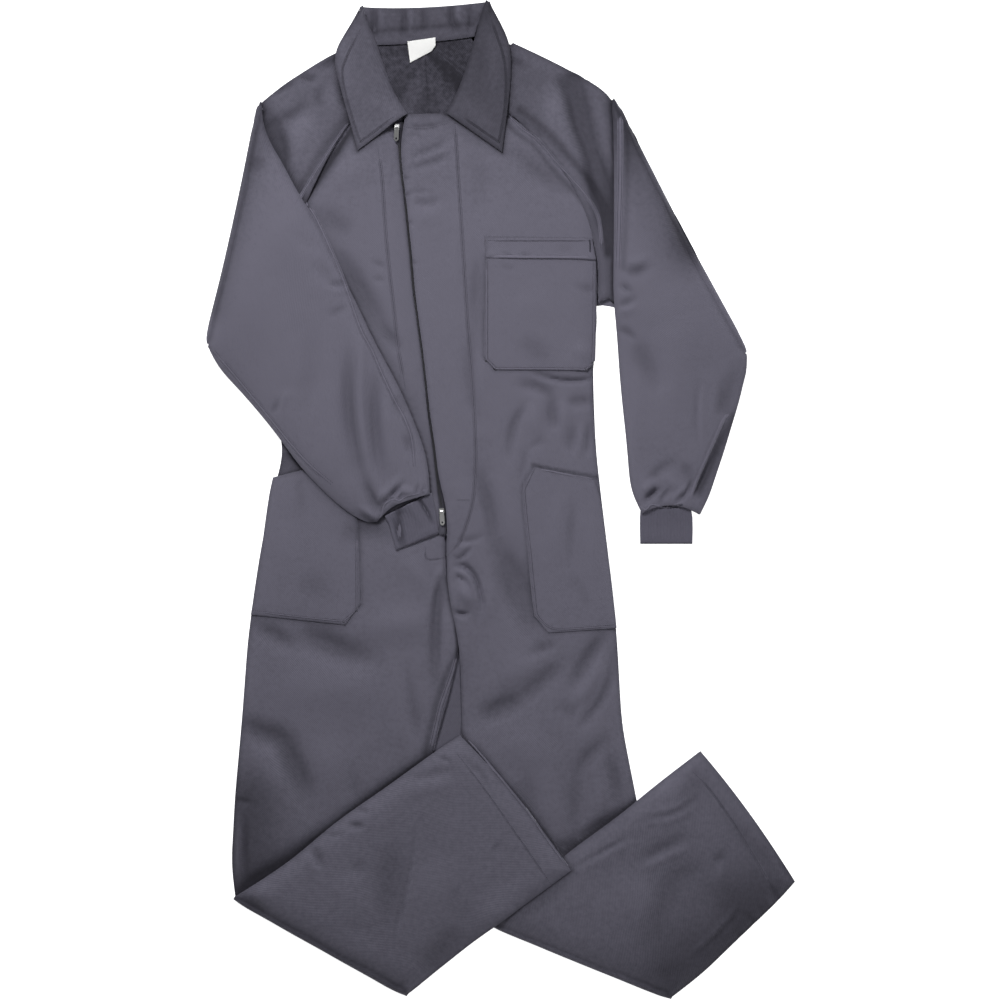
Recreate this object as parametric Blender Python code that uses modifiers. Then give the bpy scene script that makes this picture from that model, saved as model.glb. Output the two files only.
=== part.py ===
"""Boiler suit lying flat, face up, with both lower legs folded up over the front.

The suit lies on the plane z = 0 with the collar toward +Y and the wearer's left
toward +X. Every panel is a sheet of cloth lofted through plan sections, laid on
whatever lies below it, and given its wall by a Solidify modifier.
All lengths in the tables are millimetres.
"""
import math

import bpy
import bmesh
import numpy as np
from mathutils import Matrix, Vector

# ---------------------------------------------------------------- named sizes
MM = 0.001
CLOTH = 1.2            # wall of a single layer of twill
COLLAR_CLOTH = 2.2     # two layers of twill and the stiffening
RIB = 1.5              # wall of the knitted cuff
GAP = 0.45             # air between two layers that touch
CELL = 28.6            # length of a cloth cell along a panel
SWELL = 0.25           # height of the slight unevenness of loose cloth
FOLD_RISE = 3.5        # how far a folded limb springs up at its fold
FOLD_SOFTNESS = 45.0   # length over which that rise dies away
ARC_STEPS = (45.0, 90.0, 135.0)   # degrees round a folded edge

TAB_LENGTH = 21.0
TAB_WIDTH = 7.0
TAB_PLATE = 1.4
SLIDER_LENGTH = 9.0
SLIDER_WIDTH = 7.5
SLIDER_HEIGHT = 3.2
PIN_RISE = 2.1          # pin axis above the slider body
BARREL_RADIUS = 1.5
PIN_RADIUS = 0.7

# -------------------------------------------------------------- plan sections
# Each row is one line across the panel, as points (x, y) from its outer to its
# inner edge. Rows run from the collar to the fold of the leg.
BACK_RIGHT = (
    # outer edge      centre seam
    ((-186, 682), (-114.4, 688)),
    ((-226, 598), (-109.4, 615)),
    ((-268, 502), (-103.4, 518)),
    ((-310, 395), (-97.4, 412)),
    ((-350, 282), (-90.4, 292)),
    ((-354, 232), (-87.4, 232)),
    ((-348, 180), (-84.4, 180)),
    ((-327, 81), (-78.4, 81)),
    ((-333, 39), (-76.4, 39)),
    ((-345, 0), (-74.4, -5)),
    ((-354, -45), (-72.4, -48)),
    ((-362, -90), (-69.4, -93)),
    ((-370, -142), (-66.4, -142)),
    ((-376, -188), (-63.4, -183)),
    ((-380, -225), (-60.4, -225)),
    ((-384, -278), (-60, -285)),
    ((-388, -330), (-59, -340)),
    ((-393, -386), (-68, -398)),
    ((-398, -442), (-83, -459)),
    ((-401, -495), (-105, -540)),
    ((-403, -547), (-120, -624)),
    ((-398, -595), (-138, -741)),
)
BACK_LEFT = (
    # centre seam     outer edge
    ((-113.6, 688), (-44, 694)),
    ((-108.6, 615), (22, 610)),
    ((-102.6, 518), (77, 512)),
    ((-96.6, 412), (117, 405)),
    ((-89.6, 292), (145, 292)),
    ((-86.6, 232), (142, 232)),
    ((-83.6, 180), (140, 188)),
    ((-77.6, 81), (144, 81)),
    ((-75.6, 39), (149, 33)),
    ((-73.6, -5), (154, -12)),
    ((-71.6, -48), (159, -52)),
    ((-68.6, -93), (164, -93)),
    ((-65.6, -142), (170, -142)),
    ((-62.6, -183), (174, -188)),
    ((-59.6, -225), (177, -228)),
    ((-58, -285), (180, -282)),
    ((-57, -340), (184, -338)),
    ((-55, -398), (195, -398)),
    ((-48, -462), (207, -459)),
    ((-38, -532), (222, -540)),
    ((-28, -592), (240, -642)),
    ((-14, -634), (258, -745)),
)
FRONT_RIGHT = (
    # outer edge      zip edge and inner leg
    ((-189, 610), (-153, 582)),
    ((-207, 584), (-152, 555)),
    ((-225, 558), (-152, 531)),
    ((-250, 522), (-149, 502)),
    ((-276, 486), (-146, 471)),
    ((-300, 454), (-143, 441)),
    ((-326, 412), (-139, 404)),
    ((-345, 368), (-134, 364)),
    ((-352, 322), (-129, 318)),
    ((-352, 282), (-123, 278)),
    ((-350, 232), (-117, 228)),
    ((-345, 180), (-111, 176)),
    ((-336, 130), (-105, 126)),
    ((-326, 81), (-99, 78)),
    ((-332, 39), (-93, 33)),
    ((-344, 0), (-89, -9)),
    ((-353, -45), (-83, -51)),
    ((-361, -90), (-82, -93)),
    ((-369, -142), (-76, -142)),
    ((-375, -188), (-64, -183)),
    ((-379, -225), (-62, -225)),
    ((-383, -278), (-75, -285)),
    ((-387, -330), (-90, -340)),
    ((-392, -386), (-103, -388)),
    ((-397, -442), (-112, -459)),
    ((-400, -495), (-120, -534)),
    ((-402, -547), (-129, -620)),
    ((-397, -595), (-139, -740)),
)
FRONT_LEFT = (
    # fly edge and inner leg      outer edge
    ((-142, 579), (-62, 580)),
    ((-145, 560), (-14, 588)),
    ((-149, 531), (12, 580)),
    ((-147, 502), (50, 552)),
    ((-143.5, 471), (84, 520)),
    ((-139.5, 441), (114, 483)),
    ((-136, 404), (142, 446)),
    ((-131.5, 364), (148, 402)),
    ((-128, 318), (148, 354)),
    ((-123, 278), (144, 300)),
    ((-116, 228), (140, 248)),
    ((-110, 176), (138, 188)),
    ((-104.5, 126), (140, 132)),
    ((-97, 78), (143, 78)),
    ((-92, 33), (148, 30)),
    ((-81, -9), (153, -15)),
    ((-79, -51), (158, -54)),
    ((-80, -93), (163, -93)),
    ((-77, -142), (169, -142)),
    ((-68, -183), (173, -188)),
    ((-61, -225), (176, -228)),
    ((-58, -285), (179, -282)),
    ((-57, -340), (183, -338)),
    ((-55, -393), (194, -398)),
    ((-48, -459), (206, -459)),
    ((-38, -528), (220, -540)),
    ((-28, -590), (238, -641)),
    ((-14, -633), (257, -744)),
)
# Turned-up lower legs, from the fold to the hem, as they lie.
TURN_UP_RIGHT = (
    ((-398, -595), (-268, -668), (-138, -741)),
    ((-318, -543), (-200, -622), (-86, -700)),
    ((-246, -483), (-141, -571), (-37, -661)),
    ((-170, -430), (-77, -524), (14, -622)),
    ((-103, -381), (-18, -480), (67, -583)),
    ((-60, -353), (25, -445), (106, -554)),
)
TURN_UP_LEFT = (
    ((-14, -634), (122, -690), (258, -745)),
    ((45, -578), (174, -644), (304, -710)),
    ((99, -531), (222, -600), (345, -671)),
    ((170, -479), (278, -555), (386, -632)),
    ((233, -429), (325, -515), (417, -602)),
    ((301, -377), (373, -468), (443, -573)),
)
# Shoulders: lines along the raglan seam, one after another out to the fold.
SHOULDER_RIGHT_FRONT = (
    ((-183, 608), (-261, 510), (-352, 282)),
    ((-198, 657), (-288, 480), (-366, 273)),
    ((-225, 684), (-308, 465), (-378, 264)),
    ((-262, 663), (-330, 442), (-393, 255)),
    ((-300, 639), (-352, 428), (-411, 246)),
    ((-338, 615), (-374, 417), (-426, 238)),
    ((-358, 597), (-395, 412), (-438, 234)),
)
SHOULDER_RIGHT_BACK = (
    ((-191, 686), (-273, 503), (-357, 279)),
    ((-225, 684), (-308, 465), (-378, 264)),
    ((-262, 663), (-330, 442), (-393, 255)),
    ((-300, 639), (-352, 428), (-411, 246)),
    ((-338, 615), (-374, 417), (-426, 238)),
    ((-358, 597), (-395, 412), (-438, 234)),
)
SHOULDER_LEFT_FRONT = (
    ((-27, 612), (112, 468), (147, 297)),
    ((-12, 660), (130, 480), (164, 302)),
    ((18, 686), (146, 483), (180, 290)),
    ((66, 664), (164, 477), (215, 274)),
    ((118, 638), (194, 462), (272, 250)),
    ((154, 616), (226, 441), (326, 233)),
    ((168, 600), (264, 408), (368, 221)),
)
SHOULDER_LEFT_BACK = (
    ((-40, 697), (82, 512), (150, 293)),
    ((18, 686), (146, 483), (180, 288)),
    ((66, 664), (164, 477), (215, 274)),
    ((118, 638), (194, 462), (272, 250)),
    ((154, 616), (226, 441), (326, 233)),
    ((168, 600), (264, 408), (368, 221)),
)
# Sleeves from their fold at the shoulder to the cuff, as they lie.
SLEEVE_RIGHT = (
    # inner edge      outer edge
    ((-358, 597), (-395, 412), (-438, 234)),
    ((-352, 549), (-387, 372), (-424, 201)),
    ((-328, 509), (-361, 337), (-393, 167)),
    ((-306, 466), (-335, 300), (-364, 134)),
    ((-280, 424), (-308, 262), (-337, 101)),
    ((-256, 376), (-285, 223), (-314, 70)),
    ((-232, 328), (-263, 186), (-294, 44)),
    ((-210, 284), (-241, 152), (-273, 22)),
    ((-188, 236), (-221, 118), (-254, 3)),
    ((-165, 195), (-200, 90), (-236, -12)),
    ((-144, 154), (-181, 64), (-219, -24)),
    ((-128, 114), (-165, 40), (-203, -32)),
    ((-112, 75), (-152, 20), (-190, -34)),
    ((-105, 43), (-143, 5), (-180, -29)),
    ((-105, 9), (-138, -1), (-171, -14)),
)
SLEEVE_LEFT = (
    # inner edge      outer edge
    ((168, 600), (264, 408), (368, 221)),
    ((170, 555), (268, 375), (371, 201)),
    ((171, 502), (269, 342), (368, 186)),
    ((171, 450), (268, 310), (364, 170)),
    ((171, 398), (266, 278), (360, 152)),
    ((170, 345), (263, 244), (355, 135)),
    ((170, 300), (261, 212), (350, 118)),
    ((176, 248), (260, 177), (344, 98)),
    ((179, 195), (259, 138), (338, 78)),
    ((184, 142), (258, 102), (332, 60)),
    ((189, 98), (257, 70), (326, 42)),
    ((193, 52), (256, 38), (320, 24)),
    ((195, 18), (255, 13), (314, 6)),
    ((201, -3), (255, -2), (309, -8)),
    ((213, -20), (256, -8), (300, -22)),
)
CUFF_RIGHT = (
    ((-170, -9), (-107, 11)),
    ((-172, -28), (-107, -4)),
    ((-166, -52), (-100, -30)),
    ((-158, -76), (-92, -54)),
)
CUFF_LEFT = (
    ((211, -12), (283, -9)),
    ((210, -24), (287, -25)),
    ((210, -44), (288, -46)),
    ((210, -66), (289, -66)),
)
# Collar: leaves from the shoulder corner to the point, band from roll to neck.
LEAF_RIGHT = (
    # roll edge       outer edge
    ((-206, 741), (-210, 737)),
    ((-199, 717), (-231, 703)),
    ((-187, 690), (-248, 667)),
    ((-174, 651), (-241, 626)),
    ((-160, 613), (-227, 574)),
    ((-139, 579), (-213, 524)),
)
LEAF_LEFT = (
    ((-21, 749), (-17, 747)),
    ((-30, 724), (2, 714)),
    ((-36, 700), (15, 680)),
    ((-48, 658), (16, 630)),
    ((-62, 618), (10, 575)),
    ((-80, 579), (3, 521)),
)
BAND_FALL = (
    # under the band, from its lower edge up to the roll
    ((-184, 703), (-115, 709), (-44, 715)),
    ((-196, 723), (-116, 726), (-33, 733)),
    ((-203, 736), (-118, 735), (-22, 744)),
)
BAND_TOP = (
    # from the roll down to the neck seam
    ((-203, 736), (-118, 735), (-22, 744)),
    ((-196, 717), (-115, 717), (-33, 727)),
    ((-190, 700), (-113, 702), (-40, 713)),
    ((-184, 683), (-112, 687), (-44, 696)),
)
# Patches sewn on the fronts.
CHEST_POCKET = (
    ((-21, 366), (144, 362)),
    ((-22, 333), (145, 330)),
    ((-23, 300), (145, 296)),
    ((-24, 262), (144, 258)),
    ((-24, 210), (142, 204)),
    ((-8, 195), (130, 194)),
)
CHEST_BAND = (
    ((-24, 396), (138, 393)),
    ((-23, 381), (141, 377)),
    ((-21, 363), (144, 360)),
)
HIP_POCKET_RIGHT = (
    ((-341, 34), (-248, 57)),
    ((-347, 6), (-223, 22)),
    ((-356, -60), (-212, -45)),
    ((-365, -120), (-210, -112)),
    ((-372, -158), (-210, -162)),
    ((-374, -172), (-232, -187)),
)
HIP_POCKET_LEFT = (
    ((51, 49), (141, 29)),
    ((32, 16), (151, 2)),
    ((38, -45), (158, -52)),
    ((45, -120), (167, -120)),
    ((52, -176), (173, -172)),
    ((72, -199), (175, -192)),
)
# Zip: tape under the fly edge, and the facing that stiffens the fly.
ZIP_TAPE = (
    ((-156, 566), (-141, 566)),
    ((-153, 532), (-138, 532)),
    ((-142, 441), (-128, 441)),
    ((-130, 312), (-116, 312)),
    ((-118, 225), (-104, 225)),
    ((-107, 130), (-93, 130)),
    ((-95, 31), (-80, 31)),
    ((-91, -12), (-74, -12)),
    ((-92, -52), (-74, -52)),
)
FLY_FACING = (
    ((-134, 577), (-70, 577)),
    ((-135, 531), (-66, 531)),
    ((-128, 441), (-60, 441)),
    ((-113, 318), (-54, 318)),
    ((-102, 228), (-44, 228)),
    ((-91, 150), (-42, 160)),
    ((-80, 60), (-52, 60)),
    ((-72, -15), (-64, -15)),
)
LABEL = (
    ((-139, 688), (-97, 694)),
    ((-137, 672), (-97, 681)),
    ((-135, 657), (-103, 674)),
)

# --------------------------------------------------------- the largest creases
# One row a crease: start, middle and end in plan, half width, rise (- is a trough).
FRONT_CREASES = (
    # x0, y0,  x1, y1,  x2, y2,  half width, rise
    (22, 120, 60, 165, 135, 158, 16, -2.4),
    (48, 150, 70, 110, 88, 70, 15, -1.8),
    (-68, -120, -45, -150, -40, -165, 15, 3.0),
    (-88, -110, -80, -140, -70, -180, 12, -1.5),
    (-365, -182, -300, -194, -225, -208, 20, -2.2),
    (-372, -320, -340, -370, -300, -435, 20, -2.0),
    (-30, -322, 60, -285, 165, -210, 22, -3.0),
    (112, -375, 120, -425, 135, -390, 20, -2.0),
    (-60, -260, -58, -300, -57, -345, 14, -1.5),
    (-240, -60, -235, -180, -230, -300, 26, 1.6),
    (60, -230, 90, -330, 100, -430, 28, 1.8),
    (-300, 220, -260, 120, -230, 40, 24, 1.2),
)
SHOULDER_CREASES = (
    (110, 640, 139, 516, 158, 345, 14, -5.0),
    (50, 640, 105, 540, 140, 440, 18, 3.0),
    (-285, 600, -262, 500, -300, 430, 16, -3.0),
    (-240, 640, -290, 560, -340, 520, 16, 2.2),
)
SLEEVE_RIGHT_CREASES = (
    (-214, 180, -207, 75, -183, -15, 14, 3.2),
    (-236, 150, -228, 60, -200, -10, 14, -2.4),
    (-440, 215, -380, 160, -330, 120, 16, -2.0),
    (-150, 20, -165, 4, -176, -8, 7, -2.4),
    (-128, 30, -134, 10, -140, -2, 7, -1.8),
    (-330, 440, -350, 330, -380, 250, 24, 1.8),
)
SLEEVE_LEFT_CREASES = (
    (346, 128, 312, 63, 285, -3, 9, -2.8),
    (300, 330, 262, 200, 250, 60, 26, 2.2),
    (366, 200, 320, 190, 280, 160, 16, -1.8),
    (232, 60, 234, 20, 236, -12, 8, -2.2),
    (262, 50, 263, 15, 262, -12, 8, -1.8),
    (200, 470, 215, 380, 230, 260, 24, 1.4),
)
TURN_UP_CREASES = (
    (-129, -508, -137, -550, -150, -601, 16, -2.4),
    (-300, -560, -240, -590, -190, -640, 22, 1.6),
    (-60, -420, -20, -500, 10, -560, 20, -1.2),
    (300, -420, 318, -452, 330, -480, 15, -2.2),
    (225, -540, 300, -600, 375, -585, 28, -2.4),
    (120, -620, 200, -600, 300, -500, 26, 1.4),
)


# ------------------------------------------------------------ lofting helpers
def through(rows, t):
    """Smooth (Catmull-Rom) section at each parameter in t, 0 being the first row."""
    rows = np.asarray(rows, float)
    last = len(rows) - 1
    k = np.clip(np.floor(t).astype(int), 0, last - 1)
    f = (t - k)[:, None, None]
    p0 = rows[np.maximum(k - 1, 0)]
    p1 = rows[k]
    p2 = rows[k + 1]
    p3 = rows[np.minimum(k + 2, last)]
    a = 2.0 * p1
    b = (p2 - p0) * f
    c = (2.0 * p0 - 5.0 * p1 + 4.0 * p2 - p3) * f ** 2
    d = (3.0 * p1 - p0 - 3.0 * p2 + p3) * f ** 3
    return 0.5 * (a + b + c + d)


def across(sections, u):
    """Points at each u along every section, straight or through its middle point."""
    u = u[None, :, None]
    first = sections[:, :1]
    final = sections[:, -1:]
    if sections.shape[1] == 2:
        return first * (1.0 - u) + final * u
    middle = sections[:, 1:2]
    return (first * 2.0 * (u - 0.5) * (u - 1.0)
            + middle * 4.0 * u * (1.0 - u)
            + final * 2.0 * u * (u - 0.5))


def spread(columns):
    """Column positions 0..1, closer together at both edges of a panel."""
    k = np.arange(columns + 1) / columns
    return 0.45 * k + 0.55 * (0.5 - 0.5 * np.cos(math.pi * k))


def plan_grid(rows, columns, cell=CELL):
    """Even rows of points across a panel: arrays of x and y, one line a row."""
    t = np.linspace(0.0, len(rows) - 1.0, 30 * (len(rows) - 1) + 1)
    dense = through(rows, t)
    steps = np.linalg.norm(np.diff(dense, axis=0), axis=2).mean(axis=1)
    length = np.concatenate(([0.0], np.cumsum(steps)))
    count = max(2, int(round(length[-1] / cell)))
    at = np.interp(np.linspace(0.0, length[-1], count + 1), length, t)
    points = across(through(rows, at), spread(columns))
    return points[:, :, 0], points[:, :, 1]


def edge_distance(x, y, sides):
    """Distance to the named edges of a grid: first, last column; start, end row."""
    du = np.hypot(np.diff(x, axis=1), np.diff(y, axis=1))
    dv = np.hypot(np.diff(x, axis=0), np.diff(y, axis=0))
    zero_u = np.zeros((x.shape[0], 1))
    zero_v = np.zeros((1, x.shape[1]))
    from_first = np.hstack((zero_u, np.cumsum(du, axis=1)))
    from_start = np.vstack((zero_v, np.cumsum(dv, axis=0)))
    choices = {
        "first": from_first,
        "last": from_first[:, -1:] - from_first,
        "start": from_start,
        "end": from_start[-1:, :] - from_start,
    }
    return np.minimum.reduce([choices[side] for side in sides])


def crown(x, y, height, reach, sides):
    """Rounded rise from the named edges to the full height at the reach."""
    d = np.clip(edge_distance(x, y, sides) / reach, 0.0, 1.0)
    return height * np.sqrt(1.0 - (1.0 - d) ** 2)


def creased(x, y, creases):
    """Rise of the largest creases, each along a curve through three points."""
    total = np.zeros_like(x)
    s = np.linspace(0.0, 1.0, 33)
    for x0, y0, x1, y1, x2, y2, width, rise in creases:
        cx = x0 * 2 * (s - 0.5) * (s - 1) + x1 * 4 * s * (1 - s) + x2 * 2 * s * (s - 0.5)
        cy = y0 * 2 * (s - 0.5) * (s - 1) + y1 * 4 * s * (1 - s) + y2 * 2 * s * (s - 0.5)
        d = np.hypot(x[..., None] - cx, y[..., None] - cy)
        near = d.argmin(axis=-1)
        fade = np.sin(math.pi * (0.08 + 0.84 * s[near]))
        total += rise * fade * np.exp(-(d.min(axis=-1) / width) ** 2)
    return total


# ------------------------------------------------------- what lies below what
class Pile:
    """Height of the topmost cloth over the plan, on a fine square net."""

    STEP = 2.5
    LEFT = -480.0
    LOW = -790.0

    def __init__(self):
        self.top = np.zeros((620, 388))

    def cell_of(self, x, y):
        col = (np.asarray(x) - self.LEFT) / self.STEP
        row = (np.asarray(y) - self.LOW) / self.STEP
        return row, col

    def at(self, x, y):
        row, col = self.cell_of(x, y)
        r = np.clip(np.floor(row).astype(int), 0, self.top.shape[0] - 2)
        c = np.clip(np.floor(col).astype(int), 0, self.top.shape[1] - 2)
        return np.maximum.reduce([self.top[r, c], self.top[r + 1, c],
                                  self.top[r, c + 1], self.top[r + 1, c + 1]])

    def softened(self, reach, ease):
        """The pile with its steps widened by the reach and eased into ramps."""
        net = self.top
        for axis in (0, 1):
            wide = net.copy()
            for k in range(1, reach + 1):
                wide = np.maximum(wide, np.roll(net, k, axis))
                wide = np.maximum(wide, np.roll(net, -k, axis))
            net = wide
        for axis in (0, 1):
            total = net.copy()
            for k in range(1, ease + 1):
                total += np.roll(net, k, axis) + np.roll(net, -k, axis)
            net = total / (2 * ease + 1)
        return net

    def add(self, x, y, z, wall):
        """Lay the upper face of a grid of cloth on the pile."""
        fine = 14
        a = np.linspace(0.0, 1.0, fine)[:, None]
        b = np.linspace(0.0, 1.0, fine)[None, :]
        for i in range(x.shape[0] - 1):
            corners = []
            for net in (x, y, z):
                corners.append((net[i, :-1, None, None], net[i, 1:, None, None],
                                net[i + 1, :-1, None, None], net[i + 1, 1:, None, None]))
            px = blend(corners[0], a, b)
            py = blend(corners[1], a, b)
            pz = envelope(corners[2], a, b, np.maximum) + 0.55 * wall
            row, col = self.cell_of(px, py)
            r = np.rint(row).astype(int).ravel()
            c = np.rint(col).astype(int).ravel()
            np.maximum.at(self.top, (r, c), pz.ravel())

    def cover(self, x, y, width, length, height):
        """Raise the pile to a height over an upright oblong."""
        reach = np.array((length, width)) / 2.0
        low = np.floor(self.cell_of(x - reach[1], y - reach[0])).astype(int)
        high = np.ceil(self.cell_of(x + reach[1], y + reach[0])).astype(int)
        spot = self.top[low[0]:high[0] + 1, low[1]:high[1] + 1]
        np.maximum(spot, height, out=spot)


def blend(corner, a, b):
    """Bilinear blend of four corner values."""
    p00, p01, p10, p11 = corner
    return (p00 * (1 - a) + p10 * a) * (1 - b) + (p01 * (1 - a) + p11 * a) * b


def envelope(corner, a, b, pick):
    """Upper or lower of the two ways a four-sided cell can be cut in two."""
    p00, p01, p10, p11 = corner
    one = np.where(a > b, p00 + (p10 - p00) * a + (p11 - p10) * b,
                   p00 + (p01 - p00) * b + (p11 - p01) * a)
    two = np.where(a + b < 1.0, p00 + (p10 - p00) * a + (p01 - p00) * b,
                   p11 + (p01 - p11) * (1 - a) + (p10 - p11) * (1 - b))
    return pick(one, two)


def settle(pile, x, y, z, wall):
    """Raise the points of a grid until its lower face clears the pile everywhere."""
    fine = 12
    a = np.linspace(0.0, 1.0, fine)[None, None, :, None]
    b = np.linspace(0.0, 1.0, fine)[None, None, None, :]
    shares = ((1 - a) * (1 - b), (1 - a) * b, a * (1 - b), a * b)
    total = sum(share ** 2 for share in shares)
    for turn in range(40):
        corners = []
        for net in (x, y, z):
            corners.append((net[:-1, :-1, None, None], net[:-1, 1:, None, None],
                            net[1:, :-1, None, None], net[1:, 1:, None, None]))
        px = blend(corners[0], a, b)
        py = blend(corners[1], a, b)
        pz = envelope(corners[2], a, b, np.minimum) - 0.55 * wall - GAP
        short = np.maximum(pile.at(px, py) - pz, 0.0)
        if short.max() < 1e-3:
            break
        raise_by = np.zeros_like(z)
        for k, share in enumerate(shares):
            part_of = share / total if turn < 30 else 1.0
            need = (short * part_of).max(axis=(2, 3))
            i, j = divmod(k, 2)
            part = raise_by[i:i + need.shape[0], j:j + need.shape[1]]
            np.maximum(part, need, out=part)
        z = z + raise_by
    return z


def swell(x, y):
    """The slight unevenness of cloth that lies loose."""
    waves = np.sin(x / 37.0 + 0.6) * np.cos(y / 43.0) + np.sin((x + y) / 61.0)
    return SWELL * 0.5 * (waves + 2.0)


def lay(pile, x, y, rise, wall=CLOTH, reach=1, ease=4):
    """Lay a grid of cloth on the pile and add it; returns its middle heights."""
    net = Pile()
    net.top = pile.softened(reach, ease)
    z = net.at(x, y) + GAP + 0.55 * wall + np.maximum(rise, 0.0)
    z = settle(pile, x, y, z, wall)
    pile.add(x, y, z, wall)
    return z


def fold_rows(x, y, low, high, before_x, before_y):
    """Rows round a folded edge, from the lower layer up to the upper one."""
    along = Vector((x[-1] - x[0], y[-1] - y[0])).normalized()
    outward = Vector((along.y, -along.x))
    if outward.dot(Vector((x.mean() - before_x.mean(), y.mean() - before_y.mean()))) < 0:
        outward = -outward
    radius = (high - low) / 2.0
    rows = []
    for degrees in ARC_STEPS:
        angle = math.radians(degrees)
        rows.append((x + outward.x * radius * math.sin(angle),
                     y + outward.y * radius * math.sin(angle),
                     low + radius * (1.0 - math.cos(angle))))
    return rows


# ------------------------------------------------------------- making objects
def fresh_scene():
    for item in list(bpy.data.objects):
        bpy.data.objects.remove(item, do_unlink=True)
    for item in list(bpy.data.meshes):
        bpy.data.meshes.remove(item)
    suit = bpy.data.collections.new("boiler_suit")
    bpy.context.scene.collection.children.link(suit)
    tools = bpy.data.collections.new("boiler_suit_cutters")
    bpy.context.scene.collection.children.link(tools)
    return suit, tools


def finish_named(name, colour, roughness, metallic):
    material = bpy.data.materials.new(name)
    material.use_nodes = True
    shader = material.node_tree.nodes["Principled BSDF"]
    shader.inputs["Base Color"].default_value = (*colour, 1.0)
    shader.inputs["Roughness"].default_value = roughness
    shader.inputs["Metallic"].default_value = metallic
    material.diffuse_color = (*colour, 1.0)
    return material


def cloth_object(name, rows, wall, material, parent):
    """One sheet lofted through rows of (x, y, z) arrays, with its wall live."""
    build = bmesh.new()
    lines = []
    for xs, ys, zs in rows:
        lines.append([build.verts.new((px * MM, py * MM, pz * MM))
                      for px, py, pz in zip(xs, ys, zs)])
    for below, above in zip(lines[:-1], lines[1:]):
        for k in range(len(below) - 1):
            build.faces.new((below[k], below[k + 1], above[k + 1], above[k]))
    mesh = bpy.data.meshes.new(name)
    build.to_mesh(mesh)
    build.free()
    return placed(name, mesh, wall, material, parent)


def placed(name, mesh, wall, material, parent):
    mesh.materials.append(material)
    item = bpy.data.objects.new(name, mesh)
    SUIT.objects.link(item)
    item.parent = parent
    if wall:
        solid = item.modifiers.new("wall", "SOLIDIFY")
        solid.thickness = wall * MM
        solid.offset = 0.0
        solid.use_even_offset = False
        solid.use_rim = True
    for polygon in mesh.polygons:
        polygon.use_smooth = True
    mesh.set_sharp_from_angle(angle=math.radians(40.0))
    return item


def as_rows(x, y, z):
    return [(x[i], y[i], z[i]) for i in range(x.shape[0])]


# ------------------------------------------------------------------- the suit
def floor_rows(rows, columns):
    """A panel flat on the ground, its lower face at z = 0."""
    x, y = plan_grid(rows, columns)
    z = np.full_like(x, CLOTH / 2.0)
    return x, y, z


def fold_lift(x, y, spring):
    """Spring of a folded limb, highest at its fold."""
    away = edge_distance(x, y, ("start",))
    return spring * np.exp(-(away / FOLD_SOFTNESS) ** 2)


def folded_sheet(name, lower, upper, material, parent):
    """One sheet from its lower layer round the fold to its upper layer."""
    x, y, z = lower
    ux, uy, uz = upper
    rows = as_rows(x, y, z)
    rows += fold_rows(x[-1], y[-1], z[-1], uz[0], x[-3], y[-3])
    rows += as_rows(ux, uy, uz)
    return cloth_object(name, rows, CLOTH, material, parent)


def upper_grid(table, columns, lower):
    """Plan of a folded limb, starting exactly on the fold of its lower layer."""
    x, y = plan_grid(table, columns)
    x[0] = lower[0][-1]
    y[0] = lower[1][-1]
    return x, y


def lay_limb(pile, table, columns, lower, height, reach, creases, share=1.0, spring=1.0):
    """Lay the upper run of a folded limb and return its grid."""
    x, y = upper_grid(table, columns, lower)
    rise = crown(x, y, height, reach, ("first", "last")) + share * creased(x, y, creases)
    rise = np.maximum(rise, 0.0) + fold_lift(x, y, spring)
    z = lay(pile, x, y, rise)
    return x, y, z


def narrowed(table, by):
    """The same sections with both ends moved inward by a length."""
    rows = []
    for row in table:
        first = np.array(row[0], float)
        final = np.array(row[-1], float)
        step = (final - first) / np.linalg.norm(final - first) * by
        rows.append((first + step, *[np.array(p, float) for p in row[1:-1]], final - step))
    return rows


def peeping(table, by):
    """The same sections with the middle of the last one moved on along the limb."""
    rows = [[np.array(p, float) for p in row] for row in table]
    onward = rows[-1][1] - rows[-2][1]
    rows[-1][1] = rows[-1][1] + onward / np.linalg.norm(onward) * by
    return rows


def patch(pile, name, table, columns, cell, rise, material, parent, wall=CLOTH):
    """A small piece sewn on a panel, made from the height of what it lies on."""
    x, y = plan_grid(table, columns, cell)
    z = lay(pile, x, y, np.full_like(x, rise), wall, reach=0, ease=2)
    return cloth_object(name, as_rows(x, y, z), wall, material, parent)


def flat_tube(pile, name, table, columns, cell, hollow, material, parent):
    """A knitted tube lying flat: a ring of two walls joined round both edges."""
    x, y = plan_grid(table, columns, cell)
    base = Pile()
    base.top = pile.softened(3, 5)
    z = base.at(x, y) + GAP + 0.55 * RIB
    z = settle(pile, x, y, z, RIB) - 0.5 * GAP
    rise = hollow + RIB + crown(x, y, 2.2, 22.0, ("first", "last"))
    rows = []
    for i in range(x.shape[0]):
        inner = slice(1, -1)
        middle = z[i] + 0.5 * (hollow + RIB)
        ring_x = np.concatenate((x[i], x[i][inner][::-1]))
        ring_y = np.concatenate((y[i], y[i][inner][::-1]))
        upper = z[i] + rise[i]
        ring_z = np.concatenate((upper, z[i][inner][::-1]))
        ring_z[0] = middle[0]
        ring_z[columns] = middle[-1]
        rows.append((ring_x, ring_y, ring_z))
    build = bmesh.new()
    lines = []
    for xs, ys, zs in rows:
        lines.append([build.verts.new((px * MM, py * MM, pz * MM))
                      for px, py, pz in zip(xs, ys, zs)])
    for below, above in zip(lines[:-1], lines[1:]):
        for k in range(len(below)):
            n = (k + 1) % len(below)
            build.faces.new((below[k], below[n], above[n], above[k]))
    bmesh.ops.recalc_face_normals(build, faces=build.faces)
    mesh = bpy.data.meshes.new(name)
    build.to_mesh(mesh)
    build.free()
    pile.add(x, y, z + rise, RIB)
    return placed(name, mesh, RIB, material, parent)


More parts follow.
